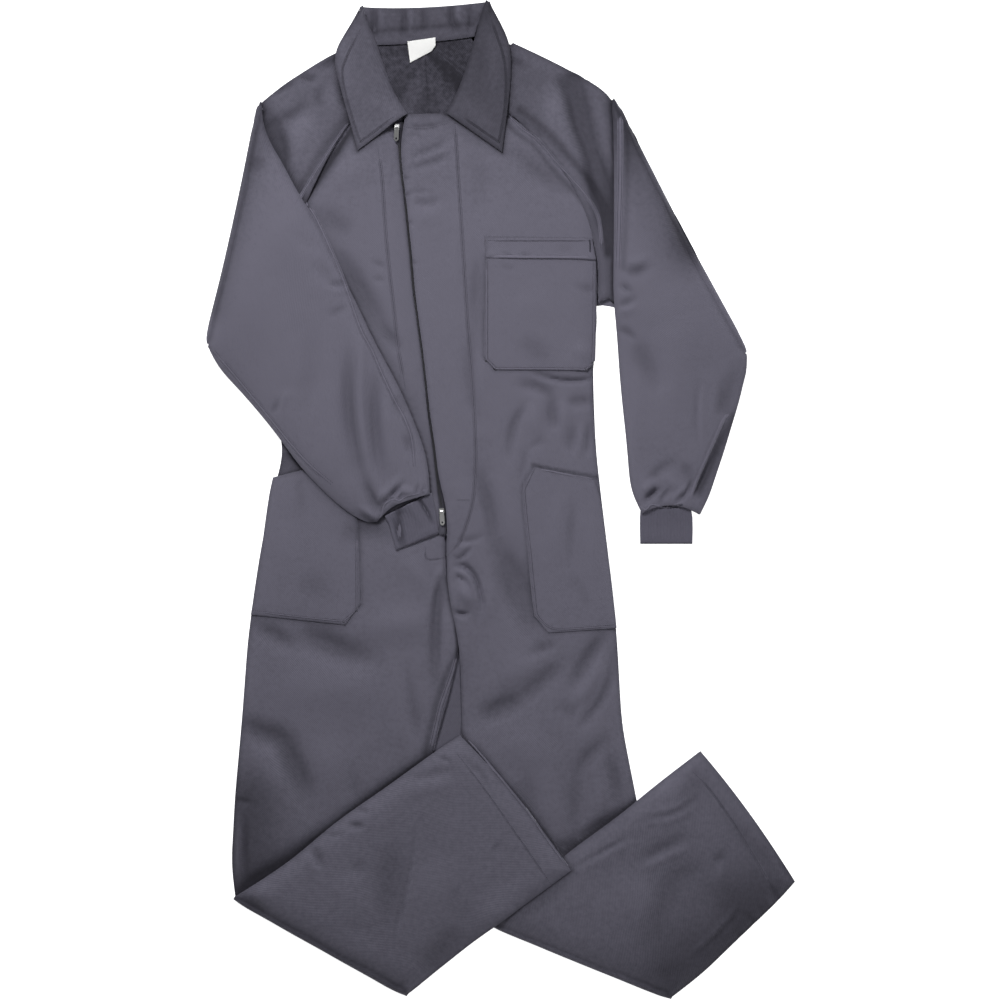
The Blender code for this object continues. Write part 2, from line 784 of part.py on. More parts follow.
def box(name, size, centre, tools):
    """A cutter or a helper solid: a box of a given size about a centre."""
    build = bmesh.new()
    bmesh.ops.create_cube(build, size=1.0)
    bmesh.ops.scale(build, vec=Vector(size) * MM, verts=build.verts)
    bmesh.ops.translate(build, vec=Vector(centre) * MM, verts=build.verts)
    mesh = bpy.data.meshes.new(name)
    build.to_mesh(mesh)
    build.free()
    return helper(name, mesh, tools)


def rod(name, radius, length, centre, axis, tools, segments=20):
    """A cutter or a helper solid: a round bar along x or z."""
    build = bmesh.new()
    bmesh.ops.create_cone(build, cap_ends=True, segments=segments, radius1=radius * MM,
                          radius2=radius * MM, depth=length * MM)
    if axis == "x":
        turn = Matrix.Rotation(math.radians(90.0), 3, "Y")
        bmesh.ops.rotate(build, matrix=turn, verts=build.verts)
    bmesh.ops.translate(build, vec=Vector(centre) * MM, verts=build.verts)
    mesh = bpy.data.meshes.new(name)
    build.to_mesh(mesh)
    build.free()
    return helper(name, mesh, tools)


def helper(name, mesh, tools):
    item = bpy.data.objects.new(name, mesh)
    tools.objects.link(item)
    item.hide_render = True
    item.display_type = "WIRE"
    return item


def join_to(item, other, operation):
    step = item.modifiers.new(operation.lower() + "_" + other.name, "BOOLEAN")
    step.operation = operation
    step.solver = "EXACT"
    step.object = other
    other.parent = item


def slider(name, place, heading, tools, material, parent):
    """A zip slider: rounded body and a bridge whose pin carries the pull tab."""
    build = bmesh.new()
    bmesh.ops.create_cube(build, size=1.0)
    size = Vector((SLIDER_WIDTH, SLIDER_LENGTH, SLIDER_HEIGHT))
    bmesh.ops.scale(build, vec=size * MM, verts=build.verts)
    bmesh.ops.translate(build, vec=(0, 0, SLIDER_HEIGHT / 2.0 * MM), verts=build.verts)
    upright = [e for e in build.edges
               if abs(e.verts[0].co.z - e.verts[1].co.z) > SLIDER_HEIGHT / 2.0 * MM]
    bmesh.ops.bevel(build, geom=upright, offset=1.6 * MM, segments=3, profile=0.5,
                    affect="EDGES", material=-1)
    mesh = bpy.data.meshes.new(name)
    build.to_mesh(mesh)
    build.free()
    item = placed(name, mesh, 0.0, material, parent)
    item.location = Vector(place) * MM
    item.rotation_euler = (0.0, 0.0, heading)
    pin_z = SLIDER_HEIGHT + PIN_RISE
    for side in (-1, 1):
        cheek = box(name + "_cheek_%d" % side, (1.3, 4.0, 4.2),
                    (side * 2.95, 0.0, SLIDER_HEIGHT + 1.1), tools)
        join_to(item, cheek, "UNION")
    pin = rod(name + "_pin", PIN_RADIUS, 6.4, (0, 0, pin_z), "x", tools)
    join_to(item, pin, "UNION")
    return item


def pull_tab(name, slider_item, droop, tools, material, parent):
    """A pull tab hinged on the pin: a barrel, a neck, and a plate with an eyelet."""
    build = bmesh.new()
    plan = ((-1.7, 0.4), (-1.7, -3.4), (-TAB_WIDTH / 2, -5.4),
            (-TAB_WIDTH / 2, -TAB_LENGTH + 3.0), (-TAB_WIDTH / 2 + 2.0, -TAB_LENGTH),
            (TAB_WIDTH / 2 - 2.0, -TAB_LENGTH), (TAB_WIDTH / 2, -TAB_LENGTH + 3.0),
            (TAB_WIDTH / 2, -5.4), (1.7, -3.4), (1.7, 0.4))
    low = [build.verts.new((px * MM, py * MM, -TAB_PLATE / 2 * MM)) for px, py in plan]
    face = build.faces.new(low)
    raised = bmesh.ops.extrude_face_region(build, geom=[face])
    top = [v for v in raised["geom"] if isinstance(v, bmesh.types.BMVert)]
    bmesh.ops.translate(build, vec=(0, 0, TAB_PLATE * MM), verts=top)
    bmesh.ops.recalc_face_normals(build, faces=build.faces)
    mesh = bpy.data.meshes.new(name)
    build.to_mesh(mesh)
    build.free()
    item = placed(name, mesh, 0.0, material, parent)
    turn = slider_item.rotation_euler.z
    pin_z = (SLIDER_HEIGHT + PIN_RISE) * MM
    item.location = slider_item.location + Vector((0.0, 0.0, pin_z))
    item.rotation_euler = (droop, 0.0, turn)
    barrel = rod(name + "_barrel", BARREL_RADIUS, 3.9, (0, 0, 0), "x", tools)
    join_to(item, barrel, "UNION")
    bore = rod(name + "_bore", PIN_RADIUS + 0.25, 5.0, (0, 0, 0), "x", tools)
    join_to(item, bore, "DIFFERENCE")
    eyelet = rod(name + "_eyelet", 1.4, 6.0, (0, -TAB_LENGTH + 4.2, 0), "z", tools)
    join_to(item, eyelet, "DIFFERENCE")
    return item


SUIT, TOOLS = fresh_scene()
GREY_TWILL = finish_named("grey_twill", (0.115, 0.108, 0.135), 0.85, 0.0)
RIB_KNIT = finish_named("rib_knit", (0.085, 0.080, 0.100), 0.9, 0.0)
ZIP_CLOTH = finish_named("zip_tape", (0.05, 0.048, 0.06), 0.8, 0.0)
NICKEL = finish_named("nickel", (0.72, 0.72, 0.70), 0.28, 1.0)
WHITE_LABEL = finish_named("white_label", (0.85, 0.85, 0.85), 0.7, 0.0)

ROOT = bpy.data.objects.new("boiler_suit_root", None)
SUIT.objects.link(ROOT)
PILE = Pile()

# Backs and the back halves of the sleeves lie flat on the ground.
back_right = floor_rows(BACK_RIGHT, 12)
back_left = floor_rows(BACK_LEFT, 12)
shoulder_right_back = floor_rows(SHOULDER_RIGHT_BACK, 9)
shoulder_left_back = floor_rows(SHOULDER_LEFT_BACK, 9)
for sheet in (back_right, back_left, shoulder_right_back, shoulder_left_back):
    PILE.add(*sheet, CLOTH)

# Collar band: its fall on the ground, the roll along the top, the inner face above.
fall = floor_rows(BAND_FALL, 10)
PILE.add(*fall, COLLAR_CLOTH)

# The right front, the zip tape, the fly facing and the left front over them.
x, y = plan_grid(FRONT_RIGHT, 12)
rise = crown(x, y, 4.5, 40.0, ("first",)) + creased(x, y, FRONT_CREASES)
rise *= np.clip(edge_distance(x, y, ("end",)) / 60.0, 0.0, 1.0)
front_right = (x, y, lay(PILE, x, y, rise + swell(x, y)))

patch(PILE, "zip_tape", ZIP_TAPE, 2, 24.0, 0.0, ZIP_CLOTH, ROOT, 0.8)
patch(PILE, "fly_facing", FLY_FACING, 3, 30.0, 0.0, GREY_TWILL, ROOT)

x, y = plan_grid(FRONT_LEFT, 12)
rise = crown(x, y, 4.5, 45.0, ("first", "last")) + creased(x, y, FRONT_CREASES)
rise *= np.clip(edge_distance(x, y, ("end",)) / 60.0, 0.0, 1.0)
front_left = (x, y, lay(PILE, x, y, rise + swell(x, y)))

# Two sliders on the zip, each with its pull tab lying down.
for name, px, py, heading, droop in (
        ("top", -154.5, 558.0, math.radians(-3.0), math.radians(9.0)),
        ("bottom", -87.5, -17.0, math.radians(4.0), math.radians(7.0))):
    ground = float(PILE.at(px, py)) + 0.3
    body = slider("zip_slider_" + name, (px, py, ground + GAP), heading, TOOLS, NICKEL, ROOT)
    pull_tab("zip_tab_" + name, body, droop, TOOLS, NICKEL, ROOT)
    PILE.cover(px, py, SLIDER_WIDTH, SLIDER_LENGTH, ground + SLIDER_HEIGHT + 2 * PIN_RISE)

# Pockets.
patch(PILE, "chest_pocket", CHEST_POCKET, 6, 26.0, 0.2, GREY_TWILL, ROOT)
patch(PILE, "chest_pocket_band", CHEST_BAND, 6, 15.0, 0.1, GREY_TWILL, ROOT)
patch(PILE, "hip_pocket_right", HIP_POCKET_RIGHT, 6, 28.0, 0.2, GREY_TWILL, ROOT)
patch(PILE, "hip_pocket_left", HIP_POCKET_LEFT, 6, 28.0, 0.2, GREY_TWILL, ROOT)

# Front halves of the sleeves over the shoulders.
shoulders = {}
for side, table in (("right", SHOULDER_RIGHT_FRONT), ("left", SHOULDER_LEFT_FRONT)):
    x, y = plan_grid(table, 9)
    rise = crown(x, y, 4.5, 30.0, ("start",)) + creased(x, y, SHOULDER_CREASES)
    rise *= np.clip(edge_distance(x, y, ("end",)) / 40.0, 0.0, 1.0)
    shoulders[side] = (x, y, lay(PILE, x, y, rise))

# Collar.
x, y = plan_grid(BAND_TOP, 10, 14.0)
x[0] = fall[0][-1]
y[0] = fall[1][-1]
rise = 5.0 * np.exp(-(edge_distance(x, y, ("start",)) / 30.0) ** 2)
band_top = (x, y, lay(PILE, x, y, rise, COLLAR_CLOTH, 2, 2))
low = (fall[0], fall[1], np.full_like(fall[0], COLLAR_CLOTH / 2.0))
rows = as_rows(*low)
rows += fold_rows(low[0][-1], low[1][-1], low[2][-1], band_top[2][0], low[0][0], low[1][0])
rows += as_rows(*band_top)
cloth_object("collar_band", rows, COLLAR_CLOTH, GREY_TWILL, ROOT)

patch(PILE, "neck_label", LABEL, 3, 12.0, 0.3, WHITE_LABEL, ROOT, 0.6)
for side, table in (("right", LEAF_RIGHT), ("left", LEAF_LEFT)):
    x, y = plan_grid(table, 6, 18.0)
    rise = crown(x, y, 3.0, 18.0, ("first",))
    z = lay(PILE, x, y, rise, COLLAR_CLOTH, 2, 4)
    cloth_object("collar_leaf_" + side, as_rows(x, y, z), COLLAR_CLOTH, GREY_TWILL, ROOT)

# Sleeves: lower wall, cuff, upper wall; the left one beside the body, the right over it.
LIMBS = (
    ("left", SLEEVE_LEFT, CUFF_LEFT, SLEEVE_LEFT_CREASES, shoulder_left_back),
    ("right", SLEEVE_RIGHT, CUFF_RIGHT, SLEEVE_RIGHT_CREASES, shoulder_right_back),
)
for side, table, cuff, creases, back in LIMBS:
    low = shoulders[side]
    inner = lay_limb(PILE, narrowed(table, 1.0), 9, low, 2.0, 40.0, creases, 0.3, FOLD_RISE)
    folded_sheet("sleeve_%s_front" % side, low, inner, GREY_TWILL, ROOT)
    flat_tube(PILE, "cuff_" + side, cuff, 8, 14.0, 0.8, RIB_KNIT, ROOT)
    outer = lay_limb(PILE, table, 9, back, 4.5, 32.0, creases)
    folded_sheet("sleeve_%s_back" % side, back, outer, GREY_TWILL, ROOT)

# Lower legs turned up: the left one first, the right one over it.
LEGS = (
    ("left", TURN_UP_LEFT, front_left, back_left, 0.0),
    ("right", TURN_UP_RIGHT, front_right, back_right, 7.0),
)
for side, table, front, back, peep in LEGS:
    inner = lay_limb(PILE, peeping(narrowed(table, 1.0), peep), 12, front, 1.5, 40.0,
                     TURN_UP_CREASES, 0.4, FOLD_RISE)
    folded_sheet("front_" + side, front, inner, GREY_TWILL, ROOT)
    outer = lay_limb(PILE, table, 12, back, 4.0, 36.0, TURN_UP_CREASES)
    folded_sheet("back_" + side, back, outer, GREY_TWILL, ROOT)
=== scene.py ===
# %% [markdown]
# # A boiler suit laid out flat
# The suit lies face up on the floor with one sleeve brought across the front and both
# lower legs folded up. The CAD part gives every panel its outline, its place in the pile
# and its large folds. This lesson turns those coarse sheets into cloth: finer surfaces,
# listed creases, seams and stitches, a knitted rib, a metal zip and the lighting.

# %% Load the part
import math

import bmesh
import bpy
import numpy as np
from mathutils import Matrix, Vector
from mathutils.bvhtree import BVHTree
from mathutils.kdtree import KDTree


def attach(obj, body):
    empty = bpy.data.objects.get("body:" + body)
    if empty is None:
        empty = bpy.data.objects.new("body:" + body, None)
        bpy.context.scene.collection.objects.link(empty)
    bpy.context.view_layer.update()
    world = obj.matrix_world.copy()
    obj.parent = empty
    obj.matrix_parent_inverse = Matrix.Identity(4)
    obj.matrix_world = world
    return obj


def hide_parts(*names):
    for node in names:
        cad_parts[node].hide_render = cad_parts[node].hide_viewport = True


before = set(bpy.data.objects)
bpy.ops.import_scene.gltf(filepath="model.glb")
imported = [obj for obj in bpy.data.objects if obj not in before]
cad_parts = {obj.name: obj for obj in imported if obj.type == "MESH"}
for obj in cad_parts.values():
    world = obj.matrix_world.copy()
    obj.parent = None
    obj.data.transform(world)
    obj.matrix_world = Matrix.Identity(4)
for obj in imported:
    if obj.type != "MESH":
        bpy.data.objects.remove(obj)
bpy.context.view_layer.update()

scene = bpy.context.scene
MM = 0.001
print("CAD nodes:", len(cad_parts))

# %% [markdown]
# ## The camera and the light
# The suit is seen from straight above. A long lens far away keeps the outline free of
# perspective, as a product shot does. One soft lamp beyond the collar end, low and to
# one side, gives the creases their shape, and a weaker one overhead fills them. The room
# is pale near the horizon and dim overhead, so that it washes out no fold.

# %% Set up the camera
VIEW_SIDE = 1.5
LENS = 90.0
SENSOR = 36.0
CLOTH_HEIGHT = 8 * MM
eye = bpy.data.objects.new("camera", bpy.data.cameras.new("camera"))
eye.data.lens = LENS
eye.data.sensor_width = SENSOR
eye.location = (0, 0, VIEW_SIDE * LENS / SENSOR + CLOTH_HEIGHT)
scene.collection.objects.link(eye)
scene.camera = eye


# %% Set up the lamps
def soft_lamp(name, place, aim, side, power):
    lamp = bpy.data.objects.new(name, bpy.data.lights.new(name, "AREA"))
    lamp.data.shape = "RECTANGLE"
    lamp.data.size = side
    lamp.data.size_y = side
    lamp.data.energy = power
    lamp.location = place
    lamp.rotation_euler = (Vector(aim) - Vector(place)).to_track_quat("-Z", "Y").to_euler()
    scene.collection.objects.link(lamp)


soft_lamp("lamp_collar_end", (-0.6, 1.6, 1.9), (0.0, -0.4, 0.0), 0.7, 48)
soft_lamp("lamp_overhead", (0.7, -0.2, 1.9), (0.1, -0.1, 0.0), 0.9, 11.5)
world = bpy.data.worlds.new("studio")
world.use_nodes = True
room = world.node_tree
direction = room.nodes.new("ShaderNodeSeparateXYZ")
room.links.new(room.nodes.new("ShaderNodeTexCoord").outputs["Generated"], direction.inputs[0])
walls = room.nodes.new("ShaderNodeMapRange")
for end, value in (("From Min", 0.15), ("From Max", 0.25), ("To Min", 0.95), ("To Max", 0.005)):
    walls.inputs[end].default_value = value
room.nodes["Background"].inputs["Color"].default_value = (1, 1, 1, 1)
room.links.new(direction.outputs["Z"], walls.inputs["Value"])
room.links.new(walls.outputs["Result"], room.nodes["Background"].inputs["Strength"])
scene.world = world
scene.view_settings.view_transform = "Standard"

# %% [markdown]
# ## Short ways to build a material
# Every material here is a small tree of nodes. A recipe holds the tree and adds to it:
# a number or a colour is set on its socket, and the output of another node is linked.


# %% Hold the node tree of a material
def opaque(colour):
    return (*colour, 1) if isinstance(colour, tuple) else colour


class Recipe:
    def __init__(self, name):
        self.material = bpy.data.materials.new(name)
        self.material.use_nodes = True
        self.tree = self.material.node_tree
        self.shader = self.tree.nodes["Principled BSDF"]
        self.place = self.tree.nodes.new("ShaderNodeTexCoord").outputs["Object"]

    def feed(self, node, values):
        for socket, value in values.items():
            if isinstance(value, bpy.types.NodeSocket):
                self.tree.links.new(value, node.inputs[socket])
            else:
                node.inputs[socket].default_value = value

    def add(self, kind, values, output):
        node = self.tree.nodes.new(kind)
        self.feed(node, values)
        return node.outputs[output]

    def maths(self, operation, *values):
        node = self.tree.nodes.new("ShaderNodeMath")
        node.operation = operation
        self.feed(node, dict(enumerate(values)))
        return node.outputs[0]

    def total(self, start, *parts):
        """A start value plus each value times its weight."""
        for value, weight in parts:
            start = self.maths("MULTIPLY_ADD", value, weight, start)
        return start

    def mix(self, share, low, high):
        node = self.tree.nodes.new("ShaderNodeMix")
        node.data_type = "RGBA"
        self.feed(node, {"Factor": share, "A": opaque(low), "B": opaque(high)})
        return node.outputs["Result"]

    def noise(self, source, scale, detail):
        return self.add("ShaderNodeTexNoise", {"Vector": source, "Scale": scale, "Detail": detail}, "Fac")

    def turned(self, degrees):
        turn = (0, 0, math.radians(degrees))
        return self.add("ShaderNodeMapping", {"Vector": self.place, "Rotation": turn}, "Vector")

    def bump(self, relief, strength, depth):
        values = {"Height": relief, "Strength": strength, "Distance": depth}
        self.feed(self.shader, {"Normal": self.add("ShaderNodeBump", values, "Normal")})


# %% [markdown]
# ## A plain pale floor
# One large square just under the suit. It is bright and matt, so it falls back to white.

# %% Lay the floor
FLOOR_HALF = 6.0
FLOOR_DROP = 0.15 * MM
paper = Recipe("white_floor")
paper.feed(paper.shader, {"Base Color": (0.93, 0.93, 0.93, 1), "Roughness": 0.9, "Specular IOR Level": 0.1,
                          "Emission Color": (1, 1, 1, 1), "Emission Strength": 0.95})
slab = bmesh.new()
bmesh.ops.create_grid(slab, x_segments=1, y_segments=1, size=FLOOR_HALF)
bmesh.ops.translate(slab, verts=slab.verts, vec=(0, 0, -FLOOR_DROP))
floor_mesh = bpy.data.meshes.new("floor")
slab.to_mesh(floor_mesh)
slab.free()
floor = bpy.data.objects.new("floor", floor_mesh)
floor.data.materials.append(paper.material)
scene.collection.objects.link(floor)

# %% [markdown]
# ## The cloth itself
# Workwear twill is a dense diagonal weave. Each fine rib catches the light on one side,
# so the weave is a slanted wave in the bump and, more faintly, painted light in the colour.
# The dye is a little uneven as well: noises from a hand wide to a thread wide lighten and
# darken the grey. The grey is also painted darker towards both ends of the suit and above
# the shoulders, as a painted falloff of the light from the chest. An attribute that each
# sheet gets further on paints shade: it darkens the cloth in a trough and under an edge.

# %% Dye and weave the twill, and paint its shade
TWILL_PITCH = 0.95 * MM
WAVE_OF_PITCH = 0.31 / 1.73
GREY_DARK = (0.074, 0.071, 0.094)
GREY_LIGHT = (0.142, 0.136, 0.178)
# the near-black that painted shade mixes into the grey
PAINTED_SHADE_GREY = (0.014, 0.013, 0.019)
# painted light: the height up the suit, in metres, where the painted grey is palest, and the height above
# which painted shade darkens the shoulders
PALEST_AT = 0.25
SHOULDER_LINE = 0.40


def twill(name, turn, dark=GREY_DARK, light=GREY_LIGHT, palest_at=PALEST_AT):
    cloth = Recipe(name)
    grain = cloth.turned(turn)
    wave = cloth.tree.nodes.new("ShaderNodeTexWave")
    wave.bands_direction = "DIAGONAL"
    cloth.feed(wave, {"Vector": grain, "Scale": WAVE_OF_PITCH / TWILL_PITCH, "Distortion": 1.2,
                      "Detail": 1.0, "Detail Scale": 2.0})
    ribs = wave.outputs["Fac"]
    broad = cloth.noise(cloth.place, 9.0, 4.0)
    fine = cloth.noise(cloth.place, 150.0, 7.0)
    slub = cloth.noise(grain, 900.0, 2.0)
    # painted light and shade: darker away from the palest height, darker still above the shoulder line, and
    # the sheet's painted shading darkens the grey and mixes in the near-black
    up_suit = cloth.add("ShaderNodeSeparateXYZ", {0: cloth.place}, "Y")
    away = cloth.maths("ABSOLUTE", cloth.maths("SUBTRACT", up_suit, palest_at))
    above = cloth.maths("MAXIMUM", cloth.maths("SUBTRACT", up_suit, SHOULDER_LINE), 0.0)
    painted_shading_node = cloth.tree.nodes.new("ShaderNodeAttribute")
    painted_shading_node.attribute_name = "painted_shading"
    painted_shading = painted_shading_node.outputs["Fac"]
    tone = cloth.total(-0.02, (broad, 0.55), (fine, 0.95), (ribs, 0.22), (slub, 0.60), (away, -0.45),
                       (above, -1.6), (painted_shading, -0.35))
    colour = cloth.mix(cloth.maths("MULTIPLY", painted_shading, 0.78), cloth.mix(tone, dark, light), PAINTED_SHADE_GREY)
    cloth.bump(cloth.total(0.0, (ribs, 1.0), (slub, 0.8), (fine, 1.2)), 0.6, 0.25 * MM)
    cloth.feed(cloth.shader, {"Base Color": colour, "Roughness": 0.82, "Specular IOR Level": 0.22,
                              "Sheen Weight": 0.22, "Sheen Roughness": 0.45,
                              "Sheen Tint": (0.80, 0.80, 0.92, 1)})
    return cloth.material


TWILL = {
    "body": twill("twill_body", 0),
    "right_sleeve": twill("twill_right_sleeve", 52),
    "left_sleeve": twill("twill_left_sleeve", -12),
    "left_turn_up": twill("twill_left_turn_up", 40),
    "right_turn_up": twill("twill_right_turn_up", -48),
    "collar": twill("twill_collar", 20),
}
print("twills:", ", ".join(TWILL))

# %% [markdown]
# ## Rib, thread, tape, label and metal
# The wrong side of the twill is darker: partly its own duller face, and partly painted
# shade, most of all in the recessed neck where it shows. The thread has the cloth's grey and
# is painted darker, as painted shade that draws each seam as a dark line. The rib and the
# zip tape are dyed like the twill, on a grain of their own.
# The label is a white satin with fine warp lines. The sliders are plated metal, bright,
# with hairlines from polishing, and the teeth are dark.


# %% Make the smaller materials
def woven(name, low, high, scale, depth, rough, sheen=0.0, wave=0.0, turn=0.0):
    cloth = Recipe(name)
    fine = cloth.noise(cloth.place, scale, 4.0)
    broad = cloth.noise(cloth.place, 14.0, 3.0)
    colour = cloth.mix(cloth.total(0.0, (fine, 0.5), (broad, 0.5)), low, high)
    relief = fine
    if wave:
        lines = {"Vector": cloth.turned(turn), "Scale": wave, "Distortion": 0.6}
        relief = cloth.maths("ADD", fine, cloth.add("ShaderNodeTexWave", lines, "Fac"))
    cloth.bump(relief, 0.4, depth)
    cloth.feed(cloth.shader, {"Base Color": colour, "Roughness": rough, "Specular IOR Level": 0.25,
                              "Sheen Weight": sheen})
    return cloth.material


# painted shade: the wrong side is painted darker than the twill, and its palest height sits low on the suit,
# so the neck, where it shows, is painted darkest
WRONG_SIDE_PALEST_AT = -0.4
inside = twill("twill_wrong_side", 8, (0.020, 0.019, 0.027), (0.116, 0.111, 0.146), WRONG_SIDE_PALEST_AT)
ridge = twill("twill_seam_ridge", 30, (0.078, 0.075, 0.099), (0.148, 0.141, 0.185))
# painted shade: the thread is painted darker than the cloth so that every seam reads as a dark line
thread = woven("grey_thread", (0.030, 0.029, 0.040), (0.060, 0.058, 0.078), 2500.0, 0.1 * MM, 0.7)
rib_yarn = twill("rib_yarn", 80, (0.066, 0.063, 0.085), (0.115, 0.110, 0.147))
tape_weave = twill("zip_tape_weave", 45, (0.034, 0.033, 0.043), (0.105, 0.101, 0.132))
satin = woven("white_satin", (0.90, 0.90, 0.89), (0.97, 0.97, 0.96), 600.0, 0.08 * MM, 0.45,
              sheen=0.2, wave=800.0, turn=25.0)
oxide = woven("dark_zip_metal", (0.020, 0.020, 0.024), (0.050, 0.049, 0.056), 900.0, 0.05 * MM, 0.45)
plated = Recipe("plated_metal")
polish = plated.mix(plated.noise(plated.place, 700.0, 3.0), (0.60, 0.60, 0.61), (0.80, 0.80, 0.79))
plated.feed(plated.shader, {"Base Color": polish, "Metallic": 1.0, "Roughness": 0.28})
HARDWARE = ("zip_slider_top", "zip_tab_top", "zip_slider_bottom", "zip_tab_bottom")
for name in HARDWARE:
    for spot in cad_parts[name].material_slots:
        spot.material = plated.material
print("plated:", ", ".join(HARDWARE))

# %% [markdown]
# ## Picking one face of a cloth sheet
# Each CAD panel is a closed sheet: two broad faces joined by a thin rim. The rim meets
# the faces at a right angle, so walking from face to face across the gentle edges only
# finds the broad faces. The outer face of a flat panel looks up. Where a panel is folded
# over, the outer face of a back wraps round the outside, so its upward part is the higher
# one, and the outer face of a front ends inside the fold, so its upward part is lower.


# %% Find the broad outer face
TINY = 1e-9


def mean_height(region, side):
    looking = [f for f in region if f.normal.z * side > 0.3]
    area = sum(f.calc_area() for f in looking) + TINY
    return sum(f.calc_area() * f.calc_center_median().z for f in looking) / area


CHOICE = {
    "up": lambda region: sum(f.normal.z * f.calc_area() for f in region),
    "wraps": lambda region: mean_height(region, 1) - mean_height(region, -1),
    "inside": lambda region: mean_height(region, -1) - mean_height(region, 1),
}
RIM_ANGLE = math.radians(50)
NO_ANGLE = 4.0
SAME_POINT = 0.002 * MM


def outer_face(node, choice):
    cloth = bmesh.new()
    cloth.from_mesh(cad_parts[node].data)
    bmesh.ops.remove_doubles(cloth, verts=cloth.verts, dist=SAME_POINT)
    cloth.normal_update()
    seen = set()
    regions = []
    for first in cloth.faces:
        if first in seen:
            continue
        seen.add(first)
        region = [first]
        for face in region:
            for edge in face.edges:
                if len(edge.link_faces) != 2 or edge.calc_face_angle(NO_ANGLE) > RIM_ANGLE:
                    continue
                for other in edge.link_faces:
                    if other not in seen:
                        seen.add(other)
                        region.append(other)
        regions.append(region)
    regions.sort(key=lambda region: -sum(f.calc_area() for f in region))
    keep = set(max(regions[:2], key=CHOICE[choice]))
    bmesh.ops.delete(cloth, geom=[f for f in cloth.faces if f not in keep], context="FACES")
    return cloth


# %% [markdown]
# ## From coarse sheet to smooth cloth
# The triangles are joined back into four-sided cells and a Subdivision Surface rounds
# them. Corners of the outline are marked first, because the rounding would melt them, and
# the outline of an elbow or a shoulder tip is smoothed afterwards.
# The rounded sheet is stored as an ordinary mesh so that creases can be pushed into it.
# A panel that folds over is divided after the first rounding, so that its fold stays
# smooth: the part on the floor stays coarse and the part that shows is rounded again.

# %% Read and move the points of a mesh
def column(mesh, name, width):
    values = np.empty(len(mesh.vertices) * width, dtype=np.float32)
    mesh.vertices.foreach_get(name, values)
    return values.reshape(-1, width).astype(float)


def move_to(mesh, place):
    mesh.vertices.foreach_set("co", place.astype(np.float32).ravel())
    mesh.update()


def linked(name, mesh):
    item = bpy.data.objects.new(name, mesh)
    scene.collection.objects.link(item)
    return item


# %% Smooth the outline of a bend
CORNER = math.radians(28)
ELBOW_SIZE = 14
# start of the panel's name, x and y of the bend, x and y of a point well inside the sleeve
ELBOWS = [
    ("sleeve_left", 370, 224, 305, 215),
    ("sleeve_right", -441, 232, -370, 250),
]
BENDS = ELBOWS + [
    ("sleeve_right_back", -358, 596, -342, 540),
    ("sleeve_left_back", 171, 603, 190, 550),
]
# degrees: half of the fan in which the outline is smoothed, of a slice, of the average
FAN = 50.0
SLICE = 3.0
BELL = 6.0
BELL_ENDS = 14


def mark_corners(cloth):
    layer = cloth.verts.layers.float.get("crease_vert") or cloth.verts.layers.float.new("crease_vert")
    for vert in cloth.verts:
        rim = [e.other_vert(vert).co - vert.co for e in vert.link_edges if e.is_boundary]
        sharp = len(rim) == 2 and math.pi - rim[0].angle(rim[1], math.pi) > CORNER
        x, y = vert.co.x / MM, vert.co.y / MM
        soft = any(math.hypot(x - elbow[1], y - elbow[2]) < ELBOW_SIZE for elbow in ELBOWS)
        vert[layer] = 1.0 if sharp and not soft else 0.0


def eased(mesh, bend):
    """Average the reach of the outline in each direction with that of its neighbours."""
    middle = np.array(bend[2:], dtype=float) * MM
    points = column(mesh, "co", 3)
    offset = points[:, :2] - middle
    reach = np.hypot(*offset.T)
    heading = math.atan2(bend[1] * MM - middle[1], bend[0] * MM - middle[0])
    turn = np.degrees((np.arctan2(offset[:, 1], offset[:, 0]) - heading + math.pi) % (2 * math.pi) - math.pi)
    if reach.max() == 0 or not (abs(turn) < 5).any():
        return
    spots = np.arange(-FAN, FAN + 0.5, 1.0)
    outline = np.array([reach[abs(turn - spot) < SLICE].max(initial=0) for spot in spots])
    bell = np.exp(-(np.arange(-BELL_ENDS, BELL_ENDS + 1) / BELL) ** 2)
    soft = np.convolve(np.pad(outline, BELL_ENDS, "edge"), bell / bell.sum(), "valid")
    change = np.interp(turn, spots, soft / np.maximum(outline, MM), 1.0, 1.0)
    whole = np.interp(turn, spots, outline, 1.0, 1.0)
    weight = np.clip(1.6 - abs(turn) / 28.0, 0, 1) * np.clip(reach / whole, 0, 1) ** 4
    points[:, :2] = middle + offset * (1 + (change - 1) * weight)[:, None]
    move_to(mesh, points)


# %% Round a sheet
def rounded(name, cloth, level):
    mark_corners(cloth)
    coarse = bpy.data.meshes.new(name)
    cloth.to_mesh(coarse)
    cloth.free()
    item = linked(name, coarse)
    rounder = item.modifiers.new("round", "SUBSURF")
    rounder.levels = level
    rounder.render_levels = level
    rounder.boundary_smooth = "PRESERVE_CORNERS"
    fine = bpy.data.meshes.new_from_object(item.evaluated_get(bpy.context.evaluated_depsgraph_get()))
    bpy.data.objects.remove(item)
    bpy.data.meshes.remove(coarse)
    fine.name = name
    for key, *bend in BENDS:
        if name.startswith(key):
            eased(fine, bend)
    return fine


# %% Divide a folded sheet into its floor part and its turned part
FLOOR_LEVEL = 2
FLOOR_TOP = 0.4 * MM
FLAT_DOWN = -0.9
JOIN_FACES = math.radians(50)
JOIN_SHAPES = math.radians(70)


def cells_of(node, choice):
    cloth = outer_face(node, choice)
    bmesh.ops.join_triangles(cloth, faces=cloth.faces, angle_face_threshold=JOIN_FACES,
                             angle_shape_threshold=JOIN_SHAPES)
    return cloth


